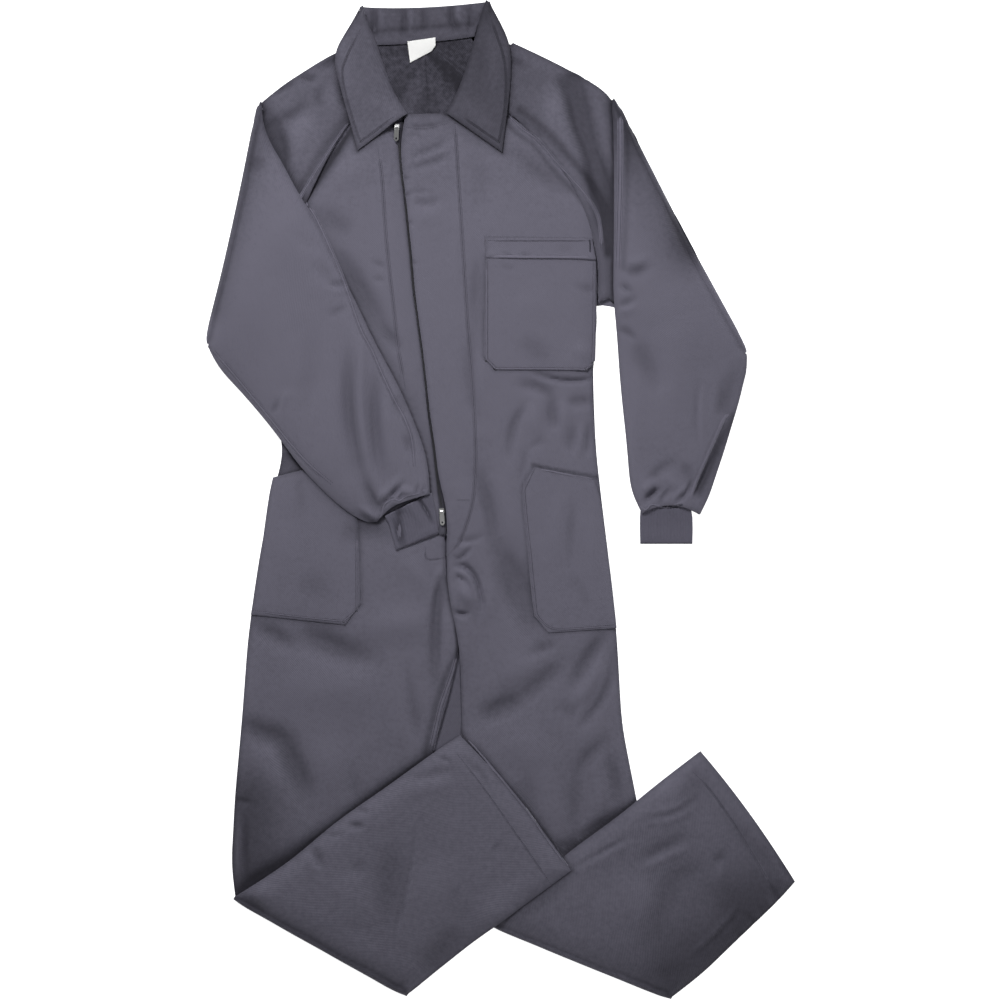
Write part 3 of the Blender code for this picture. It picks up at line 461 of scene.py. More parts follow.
def divided(node, part, level):
    cloth = bmesh.new()
    whole = rounded(node, cells_of(node, "wraps"), FLOOR_LEVEL)
    cloth.from_mesh(whole)
    bpy.data.meshes.remove(whole)
    cloth.normal_update()
    on_floor = [f for f in cloth.faces if f.normal.z < FLAT_DOWN and f.calc_center_median().z < FLOOR_TOP]
    drop = on_floor if part == "turned" else list(set(cloth.faces) - set(on_floor))
    bmesh.ops.delete(cloth, geom=drop, context="FACES")
    if part == "turned":
        return rounded(node + "_turned", cloth, level - FLOOR_LEVEL)
    mesh = bpy.data.meshes.new(node + "_floor")
    cloth.to_mesh(mesh)
    cloth.free()
    return mesh


# %% [markdown]
# ## Creases set one by one
# A crease is a soft trough or ridge along a bent line: a start, a middle, an end, a half
# width and a rise, all in millimetres (a trough has a negative rise). It fades at both
# ends, because a fold in cloth starts from nothing and runs out to nothing.

# %% Press creases into a sheet
STEPS_ON_CREASE = 10


def crease_height(x, y, row):
    x0, y0, x1, y1, x2, y2, width, rise = row
    up = np.zeros_like(x)
    reach = 2.6 * width
    near = (x > min(x0, x1, x2) - reach) & (x < max(x0, x1, x2) + reach)
    near &= (y > min(y0, y1, y2) - reach) & (y < max(y0, y1, y2) + reach)
    if not near.any():
        return up
    s = np.linspace(0, 1, STEPS_ON_CREASE + 1)
    weights = (2 * (s - 0.5) * (s - 1), 4 * s * (1 - s), 2 * s * (s - 0.5))
    line_x = weights[0] * x0 + weights[1] * x1 + weights[2] * x2
    line_y = weights[0] * y0 + weights[1] * y1 + weights[2] * y2
    px = x[near]
    py = y[near]
    nearest = np.full(len(px), 1e9)
    along = np.zeros(len(px))
    for k in range(STEPS_ON_CREASE):
        dx = line_x[k + 1] - line_x[k]
        dy = line_y[k + 1] - line_y[k]
        t = ((px - line_x[k]) * dx + (py - line_y[k]) * dy) / (dx * dx + dy * dy + TINY)
        t = np.clip(t, 0, 1)
        gap = np.hypot(px - line_x[k] - t * dx, py - line_y[k] - t * dy)
        closer = gap < nearest
        nearest[closer] = gap[closer]
        along[closer] = ((k + t) / STEPS_ON_CREASE)[closer]
    fade = np.sin(math.pi * (0.04 + 0.92 * along)) ** 0.8
    up[near] = rise * fade * np.exp(-(nearest / width) ** 2)
    return up


def ripple(x, y, size, seed):
    rng = np.random.default_rng(seed)
    up = np.zeros_like(x)
    for _ in range(9):
        heading = rng.uniform(0, math.pi)
        wave = size * rng.uniform(0.6, 1.8)
        start = rng.uniform(0, 2 * math.pi)
        up += np.sin((x * math.cos(heading) + y * math.sin(heading)) / wave * 2 * math.pi + start)
    return up / 9


# %% [markdown]
# ## Laying cloth on cloth
# Every finished sheet is kept in a search tree. Before a new sheet is final, a ray is
# dropped through each of its points. Where the sheet would sink into what lies below, the
# point is lifted, and the lift is shared out among its neighbours until the cloth
# bridges the step in a soft slope, as a real sheet does over an edge.

# %% Keep a sheet clear of the pile
PILE = []
DOWN = Vector((0, 0, -1))
AIR = 0.3 * MM
FACES_UP = 0.25
BRIDGE_TURNS = 26
KEPT_A_TURN = 0.985


def pile_height(x, y):
    top = -1.0
    for low_x, low_y, high_x, high_y, tree in PILE:
        if low_x <= x <= high_x and low_y <= y <= high_y:
            hit = tree.ray_cast(Vector((x, y, 1.0)), DOWN)[0]
            if hit is not None and hit.z > top:
                top = hit.z
    return top


def add_to_pile(mesh):
    points = [v.co.copy() for v in mesh.vertices]
    faces = [tuple(p.vertices) for p in mesh.polygons]
    xs = [p.x for p in points]
    ys = [p.y for p in points]
    PILE.append((min(xs), min(ys), max(xs), max(ys), BVHTree.FromPolygons(points, faces)))


def lift_clear(mesh, wall):
    place = column(mesh, "co", 3)
    facing = column(mesh, "normal", 3)[:, 2]
    need = np.zeros(len(place))
    for k in np.nonzero(facing > FACES_UP)[0]:
        x, y, z = place[k]
        need[k] = max(0.0, pile_height(x, y) + wall + AIR - z)
    ends = np.array([e.vertices[:] for e in mesh.edges])
    count = np.bincount(ends.ravel(), minlength=len(place)).astype(float)
    free = np.clip((facing - 0.05) / 0.3, 0, 1)
    lift = need.copy()
    for _ in range(BRIDGE_TURNS):
        total = np.bincount(ends[:, 0], weights=lift[ends[:, 1]], minlength=len(place))
        total += np.bincount(ends[:, 1], weights=lift[ends[:, 0]], minlength=len(place))
        lift = np.maximum(need, free * total / count * KEPT_A_TURN)
    place[:, 2] += lift
    move_to(mesh, place)


# %% [markdown]
# ## Giving the sheet its wall
# The finished sheet is one surface. Solidify adds the second face behind it and closes
# the rim, and a small Bevel rounds the rim, so that an edge reads as turned cloth. The
# sheet then stands in for its CAD panel, which is hidden.

# %% Thicken a sheet
CLOTH = 1.1 * MM
COLLAR_WALL = 2.0 * MM
WELD = 0.02 * MM
RIM_SHARE = 0.32
SHEETS = {}
TRIMS = {}


def thickened(item, wall):
    thick = item.modifiers.new("wall", "SOLIDIFY")
    thick.thickness = wall
    thick.offset = -1


def walled(name, node, wall=CLOTH, materials=(TWILL["body"],)):
    parts = [SHEETS[part] for part in (node, node + "_floor", node + "_turned") if part in SHEETS]
    cloth = bmesh.new()
    for number, mesh in enumerate(parts):
        before = len(cloth.faces)
        cloth.from_mesh(mesh)
        cloth.faces.ensure_lookup_table()
        for face in cloth.faces[before:]:
            face.material_index = min(number, len(materials) - 1)
            face.smooth = True
        bpy.data.meshes.remove(mesh)
    if len(parts) > 1:
        bmesh.ops.remove_doubles(cloth, verts=cloth.verts, dist=WELD)
    whole = bpy.data.meshes.new(name)
    cloth.to_mesh(whole)
    cloth.free()
    item = linked(name, whole)
    for material in materials:
        item.data.materials.append(material)
    thickened(item, wall)
    edge = item.modifiers.new("rim", "BEVEL")
    edge.width = RIM_SHARE * wall
    edge.segments = 2
    edge.limit_method = "ANGLE"
    edge.angle_limit = math.radians(60)
    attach(item, "garment")
    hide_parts(node)
    print(name, len(whole.polygons), "cells")


# %% [markdown]
# ## Seams, hems and stitches
# A felled seam or a hem is extra cloth folded in and sewn down, so it stands a little
# proud and dips along each line of stitches. Here that is a narrow grid, bent along the
# seam's route and draped over the pile, with its cross profile in millimetres. Stitches
# are small stretched balls of thread that lie in the dips, one every three millimetres.

# %% Follow a route
SEAM_STEP = 3.0
SPLINE_STEPS = 12
BESIDE_STEP = 12.0


def smooth_route(route, step):
    points = [np.array(p, dtype=float) for p in route]
    points = [2 * points[0] - points[1]] + points + [2 * points[-1] - points[-2]]
    line = []
    for k in range(1, len(points) - 2):
        before, here, there, after = points[k - 1:k + 3]
        for t in np.linspace(0, 1, SPLINE_STEPS, endpoint=False):
            bend = (2 * before - 5 * here + 4 * there - after) * t * t
            twist = (3 * here - before - 3 * there + after) * t ** 3
            line.append(0.5 * (2 * here + (there - before) * t + bend + twist))
    line = np.array(line + [points[-2]])
    run = np.concatenate([[0], np.cumsum(np.hypot(*np.diff(line, axis=0).T))])
    spots = np.linspace(0, run[-1], max(2, round(run[-1] / step)) + 1)
    even = np.stack([np.interp(spots, run, line[:, k]) for k in (0, 1)], axis=1)
    ahead = np.gradient(even, axis=0)
    return even, ahead / (np.hypot(*ahead.T)[:, None] + TINY)


def beside(route, across):
    line, ahead = smooth_route(route, BESIDE_STEP)
    return [(x - dy * across, y + dx * across) for (x, y), (dx, dy) in zip(line, ahead)]


def piece_of(name, form, material, smooth=True):
    for face in form.faces:
        face.smooth = smooth
    mesh = bpy.data.meshes.new(name)
    form.to_mesh(mesh)
    form.free()
    item = linked(name, mesh)
    item.data.materials.append(material)
    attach(item, "garment")
    return item


# %% Lay a strip of folded cloth along a route
GROOVE_TONE = 0.7
END_DROP = 0.6
CLEAR = 0.1
PUCKER_LENGTH = 11
PUCKER_WAVES = 2.2
PUCKER_JITTER = 0.5
LONGEST_TAPER = 8
SHORTEST_TAPER = 3


def groove(rise):
    """Painted shade in a dip, a little painted highlight on a ridge."""
    return GROOVE_TONE * max(-0.2, min(1.0, 0.9 - 1.35 * rise))


def strip(name, panel, route, profile, pucker=0.25, material=ridge, tone=0.0, wall=0.7):
    line, ahead = smooth_route(route, SEAM_STEP)
    steps = len(line)
    rng = np.random.default_rng(len(name) * 7 + steps)
    waves = PUCKER_WAVES * ripple(np.arange(steps) * SEAM_STEP, np.zeros(steps), PUCKER_LENGTH, steps)
    waves += PUCKER_JITTER * rng.uniform(-1, 1, steps)
    long_cells = steps - 1
    taper = min(LONGEST_TAPER, max(SHORTEST_TAPER, long_cells // 4))
    cross_cells = len(profile) - 1
    cloth = bmesh.new()
    painted_shading = cloth.verts.layers.float.new("painted_shading")
    bmesh.ops.create_grid(cloth, x_segments=long_cells, y_segments=cross_cells, size=1)
    below = np.full((long_cells + 1, cross_cells + 1), -1.0)
    spots = []
    for vert in cloth.verts:
        i = round((vert.co.x + 1) / 2 * long_cells)
        j = round((vert.co.y + 1) / 2 * cross_cells)
        across = profile[j][0] * MM
        x = line[i, 0] * MM - ahead[i, 1] * across
        y = line[i, 1] * MM + ahead[i, 0] * across
        below[i, j] = max(0, pile_height(x, y))
        spots.append((vert, i, j, x, y))
    smooth = below.copy()
    smooth[1:-1] = np.maximum(below[1:-1], (below[:-2] + 2 * below[1:-1] + below[2:]) / 4)
    for vert, i, j, x, y in spots:
        whole = min(1.0, min(i, long_cells - i) / taper)
        rise = profile[j][1] * whole - END_DROP * (1 - whole)
        if 0 < j < cross_cells:
            rise += pucker * waves[i] * min(1, abs(rise))
        vert.co = (x, y, max(smooth[i, j] + rise * MM, (wall + CLEAR) * MM))
        # painted shade: the strip is darker in its dips and a little paler on its ridges, on top of a given
        # base shade
        vert[painted_shading] = tone + whole * groove(profile[j][1])
    cloth.normal_update()
    if sum(face.normal.z for face in cloth.faces) < 0:
        bmesh.ops.reverse_faces(cloth, faces=cloth.faces)
    item = piece_of(name, cloth, material)
    thickened(item, wall * MM)
    add_to_pile(item.data)
    TRIMS.setdefault(panel, []).append(item)


# %% Sew lines of stitches
STITCH_PITCH = 3.1
STITCH_HALF = (1.25, 0.34, 0.26)
STITCH_SUNK = 0.55
STITCH_SWAY = 0.06


def sewn(name, panel, routes, pitch=STITCH_PITCH, half=STITCH_HALF):
    rng = np.random.default_rng(len(name) + len(routes))
    stitches = bmesh.new()
    count = 0
    for route in routes:
        line, ahead = smooth_route(route, pitch)
        for (x, y), (dx, dy) in zip(line, ahead):
            z = pile_height(x * MM, y * MM)
            if z < MM:
                continue
            turn = math.atan2(dy, dx) + rng.uniform(-STITCH_SWAY, STITCH_SWAY)
            place = Matrix.Translation((x * MM, y * MM, z + half[2] * STITCH_SUNK * MM))
            place = place @ Matrix.Rotation(turn, 4, "Z") @ Matrix.Diagonal([h * MM for h in half] + [1])
            bmesh.ops.create_icosphere(stitches, subdivisions=1, radius=1, matrix=place)
            count += 1
    TRIMS.setdefault(panel, []).append(piece_of(name, stitches, thread))
    print(name, count, "stitches")


# %% Name the kinds of seam
# distance across the seam and rise, from one edge to the other
FELLED = ((-5.5, -0.5), (-4.4, 0.35), (-3.4, 0.75), (-2.3, 0.1), (-1.2, 0.85), (0, 1.0), (1.2, 0.85),
          (2.3, 0.1), (3.4, 0.75), (4.4, 0.35), (5.5, -0.5))
HEMMED = ((0.0, -0.2), (0.7, 0.35), (2.5, 0.6), (4.6, 0.65), (5.6, 0.05), (6.8, 0.45), (8.4, -0.5))
TOPSTITCHED = ((-3.6, -0.5), (-2.4, 0.3), (-0.9, 0.5), (0, -0.1), (0.9, 0.5), (2.4, 0.3), (3.6, -0.5))
STEPPED = ((-0.7, -0.6), (0, 0.9), (0.5, 1.4), (1.6, 1.3), (3.2, 0.8), (6.0, -0.5))
ALLOWANCE = ((-7, -0.3), (-5, 0.25), (0, 0.3), (5, 0.25), (7, -0.3))


def scaled(profile, width, height=1.0):
    return [(across * width, rise * height) for across, rise in profile]


def felled(name, panel, route, width=1.0):
    strip(name, panel, route, scaled(FELLED, width), 0.3)
    sewn(name + "_stitches", panel, [beside(route, -2.3 * width), beside(route, 2.3 * width)])


def hemmed(name, panel, route, width=1.0):
    strip(name, panel, route, scaled(HEMMED, width), 0.2)
    sewn(name + "_stitches", panel, [beside(route, 5.6 * width)])


def topstitched(name, panel, route, width=1.0, pucker=0.25, material=ridge, tone=0.0):
    strip(name, panel, route, scaled(TOPSTITCHED, width), pucker, material, tone)
    sewn(name + "_stitches", panel, [route])


def stepped(name, panel, route, width=1.0, height=1.0, pucker=0.15):
    strip(name, panel, route, scaled(STEPPED, width, height), pucker)


def allowance(name, panel, route, width=1.0, tone=0.0):
    strip(name, panel, route, scaled(ALLOWANCE, width), 0, inside, tone)


# %% [markdown]
# ## The zip's teeth
# Two rows of small metal teeth stand on the tape and mesh alternately.

# %% Set the teeth
TOOTH_PITCH = 2.4
TOOTH_HALF = (0.55, 1.25, 0.55)
TOOTH_OFFSET = 0.8
TOOTH_EDGE = 0.14 * MM


def zip_teeth(name, panel, route):
    teeth = bmesh.new()
    line, ahead = smooth_route(route, TOOTH_PITCH / 2)
    for number, ((x, y), (dx, dy)) in enumerate(zip(line, ahead)):
        side = TOOTH_OFFSET if number % 2 else -TOOTH_OFFSET
        x -= dy * side
        y += dx * side
        z = pile_height(x * MM, y * MM) + TOOTH_HALF[2] * MM
        place = Matrix.Translation((x * MM, y * MM, z)) @ Matrix.Rotation(math.atan2(dy, dx), 4, "Z")
        place = place @ Matrix.Diagonal([2 * h * MM for h in TOOTH_HALF] + [1])
        bmesh.ops.create_cube(teeth, size=1, matrix=place)
    bmesh.ops.bevel(teeth, geom=teeth.edges[:], offset=TOOTH_EDGE, segments=1, profile=0.5,
                    affect="EDGES", material=-1)
    item = piece_of(name, teeth, oxide, smooth=False)
    add_to_pile(item.data)
    TRIMS.setdefault(panel, []).append(item)
    print(name, len(line), "teeth")


# %% [markdown]
# ## The knitted cuffs
# Each cuff is a tube of rib, laid flat. A grid is wrapped round a flat oval whose width
# and height come from the CAD cuff, and the columns stand out in turn, as rib does.

# %% Knit a cuff
RIBS_A_SIDE = 24
RIB_RISE = 0.24 * MM
SAMPLES_A_RIB = 5
ROWS_ALONG = 18
KNIT_WALL = 1.2 * MM
SEAM_WELD = 0.01 * MM


def rib_cuff(name, node, stations):
    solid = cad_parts[node].data
    points = [v.co.copy() for v in solid.vertices]
    tree = BVHTree.FromPolygons(points, [tuple(p.vertices) for p in solid.polygons])
    cloth = bmesh.new()
    bmesh.ops.create_grid(cloth, x_segments=RIBS_A_SIDE * SAMPLES_A_RIB * 2, y_segments=ROWS_ALONG, size=1)
    ends = np.array(stations, dtype=float) * MM
    where = np.linspace(0, 1, len(stations))
    painted_shading = cloth.verts.layers.float.new("painted_shading")
    for vert in cloth.verts:
        turn = (vert.co.x + 1) * math.pi
        v = (vert.co.y + 1) / 2
        left_x, left_y, right_x, right_y = [np.interp(v, where, ends[:, k]) for k in range(4)]
        middle_x = (left_x + right_x) / 2
        middle_y = (left_y + right_y) / 2
        top = tree.ray_cast(Vector((middle_x, middle_y, 1)), DOWN)[0]
        base = tree.ray_cast(Vector((middle_x, middle_y, -1)), -DOWN)[0]
        top_z = top.z if top else points[0].z
        base_z = base.z if base else points[0].z
        across = -math.cos(turn)
        bulge = math.copysign(min(1, abs(math.sin(turn)) ** 0.5), math.sin(turn))
        rib = RIB_RISE * math.cos(math.acos(max(-1, min(1, across))) * RIBS_A_SIDE * 2)
        x = middle_x + across * (right_x - left_x) / 2
        y = middle_y + across * (right_y - left_y) / 2
        half = (top_z - base_z) / 2 - RIB_RISE
        z = (top_z + base_z) / 2 + bulge * half + math.sin(turn) * rib
        fold = 0.0
        on_top = math.sin(turn) > 0.2
        for row in CREASES[node] if on_top else ():
            fold += float(crease_height(np.array([x / MM]), np.array([y / MM]), row)[0])
        # painted shade: the cuff is darker in its troughs and paler on its ridges
        vert[painted_shading] = max(-0.5, min(0.9, -0.18 * fold))
        vert.co = (x, y, z + fold * MM)
    bmesh.ops.remove_doubles(cloth, verts=cloth.verts, dist=SEAM_WELD)
    bmesh.ops.recalc_face_normals(cloth, faces=cloth.faces)
    middle = sum((v.co for v in cloth.verts), Vector()) / len(cloth.verts)
    if sum(f.normal.dot(f.calc_center_median() - middle) * f.calc_area() for f in cloth.faces) < 0:
        bmesh.ops.reverse_faces(cloth, faces=cloth.faces)
    item = piece_of(name, cloth, rib_yarn)
    thickened(item, KNIT_WALL)
    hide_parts(node)
    add_to_pile(item.data)
    print(name, len(item.data.polygons), "cells")


# %% [markdown]
# ## The creases of each panel
# The rows below are the folds that give this suit its look: start, middle and end of
# each line, its half width and its rise, in millimetres from the middle of the suit.
# Long folds fan out from the crotch and the pocket corners, where the cloth hangs when
# the suit is worn, and short puckers sit along the seams, where the thread draws it in.

# %% Creases of the fronts
CREASES = {name: [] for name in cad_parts}
# x0, y0, x1, y1, x2, y2, half width, rise
CREASES["front_right"] = [
    (-372, -186, -338, -203, -306, -222, 10, -2.4),
    (-300, -192, -250, -220, -185, -240, 15, -3.6),
    (-210, -190, -150, -186, -105, -180, 18, 2.2),
    (-330, -265, -250, -285, -170, -270, 30, 2.4),
    (-388, -330, -352, -352, -318, -352, 12, -3.2),
    (-328, -350, -310, -396, -280, -452, 14, -3.6),
    (-357, -365, -345, -400, -330, -440, 16, 1.8),
    (-262, -350, -255, -400, -240, -440, 22, 1.6),
    (-142, -247, -132, -315, -123, -360, 7, -1.6),
    (-160, -250, -152, -320, -150, -370, 12, 1.2),
    (-88, -112, -96, -170, -97, -285, 7, -3.4),
    (-84, -100, -98, -130, -106, -180, 5, 1.8),
    (-80, -170, -77, -220, -84, -270, 8, 1.4),
    (-225, -405, -217, -430, -210, -455, 8, -1.0),
    (-395, -450, -385, -452, -370, -454, 4, -1.4),
    (-390, -475, -391, -520, -388, -570, 4, 1.4),
    (-382, -475, -382, -525, -380, -570, 4, -1.2),
    (-388, -588, -315, -545, -246, -497, 12, -4.0),
    (-246, -490, -170, -437, -103, -388, 8, -2.5),
    (-272, 438, -245, 412, -225, 395, 12, -1.8),
    (-245, 375, -208, 315, -172, 250, 10, -2.8),
    (-178, 262, -162, 240, -150, 224, 6, -2.0),
    (-192, 357, -180, 352, -172, 348, 3, -1.0),
    (-190, 331, -182, 330, -172, 329, 3, -0.8),
    (-297, 447, -262, 495, -226, 547, 7, -3.4),
    (-250, 470, -215, 495, -195, 520, 14, 1.4),
    (-235, -55, -200, -48, -160, -60, 14, -2.0),
    (-150, -90, -120, -110, -100, -140, 14, 1.6),
    (-118, -95, -104, -120, -96, -150, 7, -1.2),
    (-338, 60, -325, 40, -312, 28, 9, -2.5),
    (-324, 72, -314, 52, -300, 34, 9, -5.0),
]
CREASES["front_left"] = [
    (-135, 513, -102, 525, -78, 543, 5, -1.3),
    (-138, 495, -105, 505, -74, 515, 5, -1.5),
    (-134, 503, -104, 514, -78, 528, 4, 0.9),
    (-129, 450, -112, 444, -88, 450, 6, -1.6),
    (-132, 461, -120, 462, -106, 462, 3, -1.0),
    (-128, 425, -110, 422, -90, 426, 9, 0.9),
    (-144, 483, -140, 482, -137, 476, 2.5, -1.2),
    (-145, 457, -138, 457, -131, 458, 2.5, -1.3),
    (-139, 416, -134, 415, -131, 411, 2.5, -1.1),
    (-133, 356, -128, 354, -124, 352, 2.5, -1.0),
    (-142, 560, -110, 559, -80, 566, 3, -1.4),
    (-142, 547, -130, 546, -118, 546, 3, -0.8),
    (-64, 450, -65, 380, -66, 315, 5, 0.9),
    (-36, 265, -43, 180, -28, 108, 9, -2.2),
    (-30, 100, -22, 60, -14, 30, 10, -0.9),
    (-40, 52, -18, -8, -8, -75, 9, -3.2),
    (-8, -60, 24, -120, 52, -210, 16, -3.4),
    (-6, -95, 18, -130, 34, -165, 20, -1.4),
    (-2, 45, 14, -20, 24, -80, 11, 2.0),
    (-62, 30, -52, -10, -38, -60, 12, 1.2),
    (27, 172, 58, 168, 78, 154, 7, -2.6),
    (78, 160, 79, 128, 83, 104, 7, -2.8),
    (42, 142, 20, 108, 14, 58, 6, -2.6),
    (50, 148, 52, 115, 62, 92, 9, 2.4),
    (98, 150, 96, 120, 100, 92, 7, 1.6),
    (100, 144, 118, 147, 140, 146, 7, -2.4),
    (112, 112, 108, 90, 106, 70, 7, -2.0),
    (134, 117, 133, 90, 130, 66, 5, -2.0),
    (123, 112, 121, 90, 119, 68, 4, 1.3),
    (36, 76, 36, 55, 30, 25, 4, -1.5),
    (44, 70, 52, 82, 72, 84, 4, -0.9),
    (52, 190, 100, 179, 143, 184, 3.2, -3.4),
    (-62, -130, -52, -142, -48, -160, 8, 3.4),
    (-68, -166, -58, -171, -46, -168, 3, -3.6),
    (-68, -100, -40, -112, -26, -166, 3, -4.2),
    (-66, -108, -44, -120, -34, -160, 4, 2.6),
    (-26, -120, -18, -150, -12, -180, 8, 1.2),
    (-66, -60, -45, -61, -24, -52, 3.5, -1.5),
    (-70, -84, -58, -86, -42, -70, 2.6, -2.2),
    (-66, -112, -60, -118, -54, -122, 2.2, -2.0),
    (-63, -74, -52, -70, -44, -66, 3, 1.0),
    (-70, -92, -58, -94, -46, -98, 3, -1.0),
    (-30, -332, 0, -312, 35, -298, 12, -3.8),
    (30, -298, 62, -272, 92, -245, 11, -3.2),
    (0, -270, 30, -255, 60, -240, 20, 1.8),
    (38, -235, 65, -224, 85, -217, 7, -1.8),
    (160, -198, 134, -235, 105, -287, 9, -3.2),
    (168, -222, 157, -290, 116, -342, 6, -2.6),
    (150, -240, 138, -272, 118, -302, 7, 2.2),
    (90, -300, 105, -318, 118, -325, 12, -1.6),
    (168, -357, 132, -385, 113, -420, 8, -2.2),
    (113, -415, 112, -460, 110, -512, 9, -2.2),
    (164, -380, 172, -420, 178, -460, 8, -2.6),
    (150, -415, 147, -450, 144, -485, 9, 1.6),
    (28, -420, 42, -440, 55, -470, 12, -1.8),
    (10, -350, 45, -375, 90, -385, 22, 2.0),
    (70, -400, 74, -450, 78, -490, 12, 1.2),
    (-50, -362, -25, -387, 0, -414, 7, -2.6),
    (0, -414, 45, -462, 75, -508, 8, -2.0),
    (70, -508, 95, -524, 120, -510, 10, -4.0),
    (118, -510, 150, -490, 190, -462, 7, -3.0),
    (12, 530, 60, 490, 112, 455, 12, -2.6),
    (-38, 545, -30, 480, -32, 420, 14, -1.2),
    (-31, 365, -36, 310, -34, 255, 8, -2.2),
    (-26, 230, -28, 180, -24, 140, 10, 1.2),
    (140, 395, 142, 330, 142, 260, 8, -1.2),
]

# %% Creases of the shoulders, sleeves, turn-ups and pockets
CREASES["sleeve_right_front"] = [
    (-348, 572, -331, 535, -322, 500, 9, -5.5),
    (-285, 575, -299, 532, -308, 492, 16, 3.2),
    (-345, 562, -312, 577, -285, 598, 6, -2.0),
    (-300, 636, -288, 632, -274, 630, 3.5, -2.4),
    (-272, 645, -256, 655, -243, 659, 4, -2.0),
    (-241, 628, -235, 605, -231, 583, 5, -2.6),
    (-262, 622, -272, 602, -268, 585, 6, -1.4),
    (-338, 608, -322, 618, -305, 625, 4, -1.4),
    (-270, 610, -250, 600, -240, 570, 12, 1.2),
    (-304, 478, -299, 474, -295, 470, 2.5, -1.0),
    (-284, 488, -280, 484, -277, 481, 2.5, -1.0),
]
CREASES["sleeve_left_front"] = [
    (110, 642, 117, 585, 138, 517, 11, -7.5),
    (134, 525, 151, 465, 159, 396, 11, -8.0),
    (80, 612, 97, 545, 128, 480, 13, 3.6),
    (152, 600, 160, 540, 166, 480, 10, 1.6),
    (82, 634, 96, 621, 106, 608, 7, -1.8),
    (16, 661, 28, 655, 42, 645, 5, -1.6),
    (30, 640, 55, 625, 80, 618, 10, -0.8),
    (28, 572, 38, 563, 46, 558, 3, -1.2),
    (50, 556, 58, 548, 64, 540, 3, -1.2),
    (24, 575, 60, 560, 84, 520, 9, 0.9),
]
CREASES["sleeve_left_back"] = [
    (250, 470, 272, 410, 302, 350, 14, -2.6),
    (196, 575, 204, 550, 207, 522, 6, -2.0),
    (215, 520, 235, 450, 262, 380, 16, 2.4),
    (190, 345, 205, 341, 222, 351, 5, -2.6),
    (192, 357, 206, 354, 222, 362, 5, 1.4),
    (178, 320, 190, 316, 197, 309, 3.5, -2.0),
    (178, 292, 190, 295, 206, 304, 3.5, -2.0),
    (179, 281, 190, 283, 203, 290, 3.5, 1.2),
    (178, 256, 190, 251, 202, 241, 4, -2.0),
    (200, 234, 224, 200, 241, 158, 12, -2.2),
    (250, 260, 262, 200, 270, 130, 26, 1.8),
    (352, 192, 340, 150, 335, 124, 8, -2.0),
    (335, 185, 330, 150, 326, 118, 5, -0.9),
    (300, 180, 296, 140, 296, 88, 4, -1.0),
    (306, 182, 302, 140, 302, 92, 4, 0.7),
    (225, 28, 240, 44, 264, 58, 6, -1.4),
    (270, 50, 282, 40, 288, 22, 7, -1.4),
    (220, -2, 228, 9, 240, 18, 4, -2.0),
    (212, 14, 220, 18, 232, 30, 5, 1.4),
    (246, 38, 262, 22, 280, 8, 6, 1.0),
    (212, 60, 206, 120, 202, 180, 9, 1.0),
    (290, -4, 318, 60, 343, 116, 6, -2.6),
    (214, -6, 226, 8, 238, 14, 2.6, -1.8),
    (240, -6, 246, 6, 256, 16, 2.8, -1.4),
    (258, -2, 266, 8, 276, 18, 2.8, 1.2),
    (268, -2, 280, 12, 288, 30, 2.8, -1.8),
    (292, 6, 304, 34, 318, 62, 3, -2.0),
]
CREASES["sleeve_right_back"] = [
    (-221, 218, -224, 120, -200, 22, 9, -3.4),
    (-201, 30, -190, 2, -176, -18, 6, -3.0),
    (-205, 248, -208, 120, -184, 2, 8, 3.4),
    (-188, 188, -187, 110, -178, 34, 8, -2.6),
    (-172, 150, -168, 90, -160, 40, 9, 1.6),
    (-260, 180, -250, 100, -230, 40, 24, 1.6),
    (-352, 510, -362, 500, -372, 488, 10, -1.6),
    (-257, 322, -242, 322, -231, 321, 3.5, -1.8),
    (-256, 314, -242, 313, -232, 311, 4, 1.0),
    (-280, 354, -264, 340, -250, 327, 9, -1.2),
    (-257, 277, -242, 282, -230, 289, 4, -1.2),
    (-342, 130, -334, 140, -327, 152, 3.5, -1.2),
    (-332, 140, -322, 152, -315, 160, 3.5, 0.7),
    (-160, 152, -152, 140, -147, 122, 8, -1.4),
    (-144, 96, -138, 84, -134, 68, 5, -1.6),
    (-208, -10, -196, -21, -184, -30, 4, 1.4),
    (-212, -20, -200, -30, -188, -36, 4, -1.2),
    (-170, 8, -158, -2, -150, 4, 5, 1.6),
    (-150, 22, -138, 12, -126, 14, 5, 1.4),
    (-300, 280, -292, 200, -286, 120, 18, -1.2),
    (-345, 330, -325, 250, -310, 170, 26, 1.6),
    (-330, 430, -305, 370, -285, 300, 24, 1.2),
    (-305, 400, -290, 385, -268, 375, 8, -0.8),
    (-176, -8, -160, 8, -143, 25, 2.6, -2.2),
    (-184, -2, -168, 14, -150, 32, 4, 1.6),
    (-158, 4, -150, 8, -141, 16, 3, 1.6),
    (-152, 0, -148, 6, -144, 12, 2.2, -1.4),
    (-128, 6, -124, 14, -122, 24, 2.4, -1.2),
    (-118, 8, -114, 14, -112, 20, 2.2, -1.2),
]
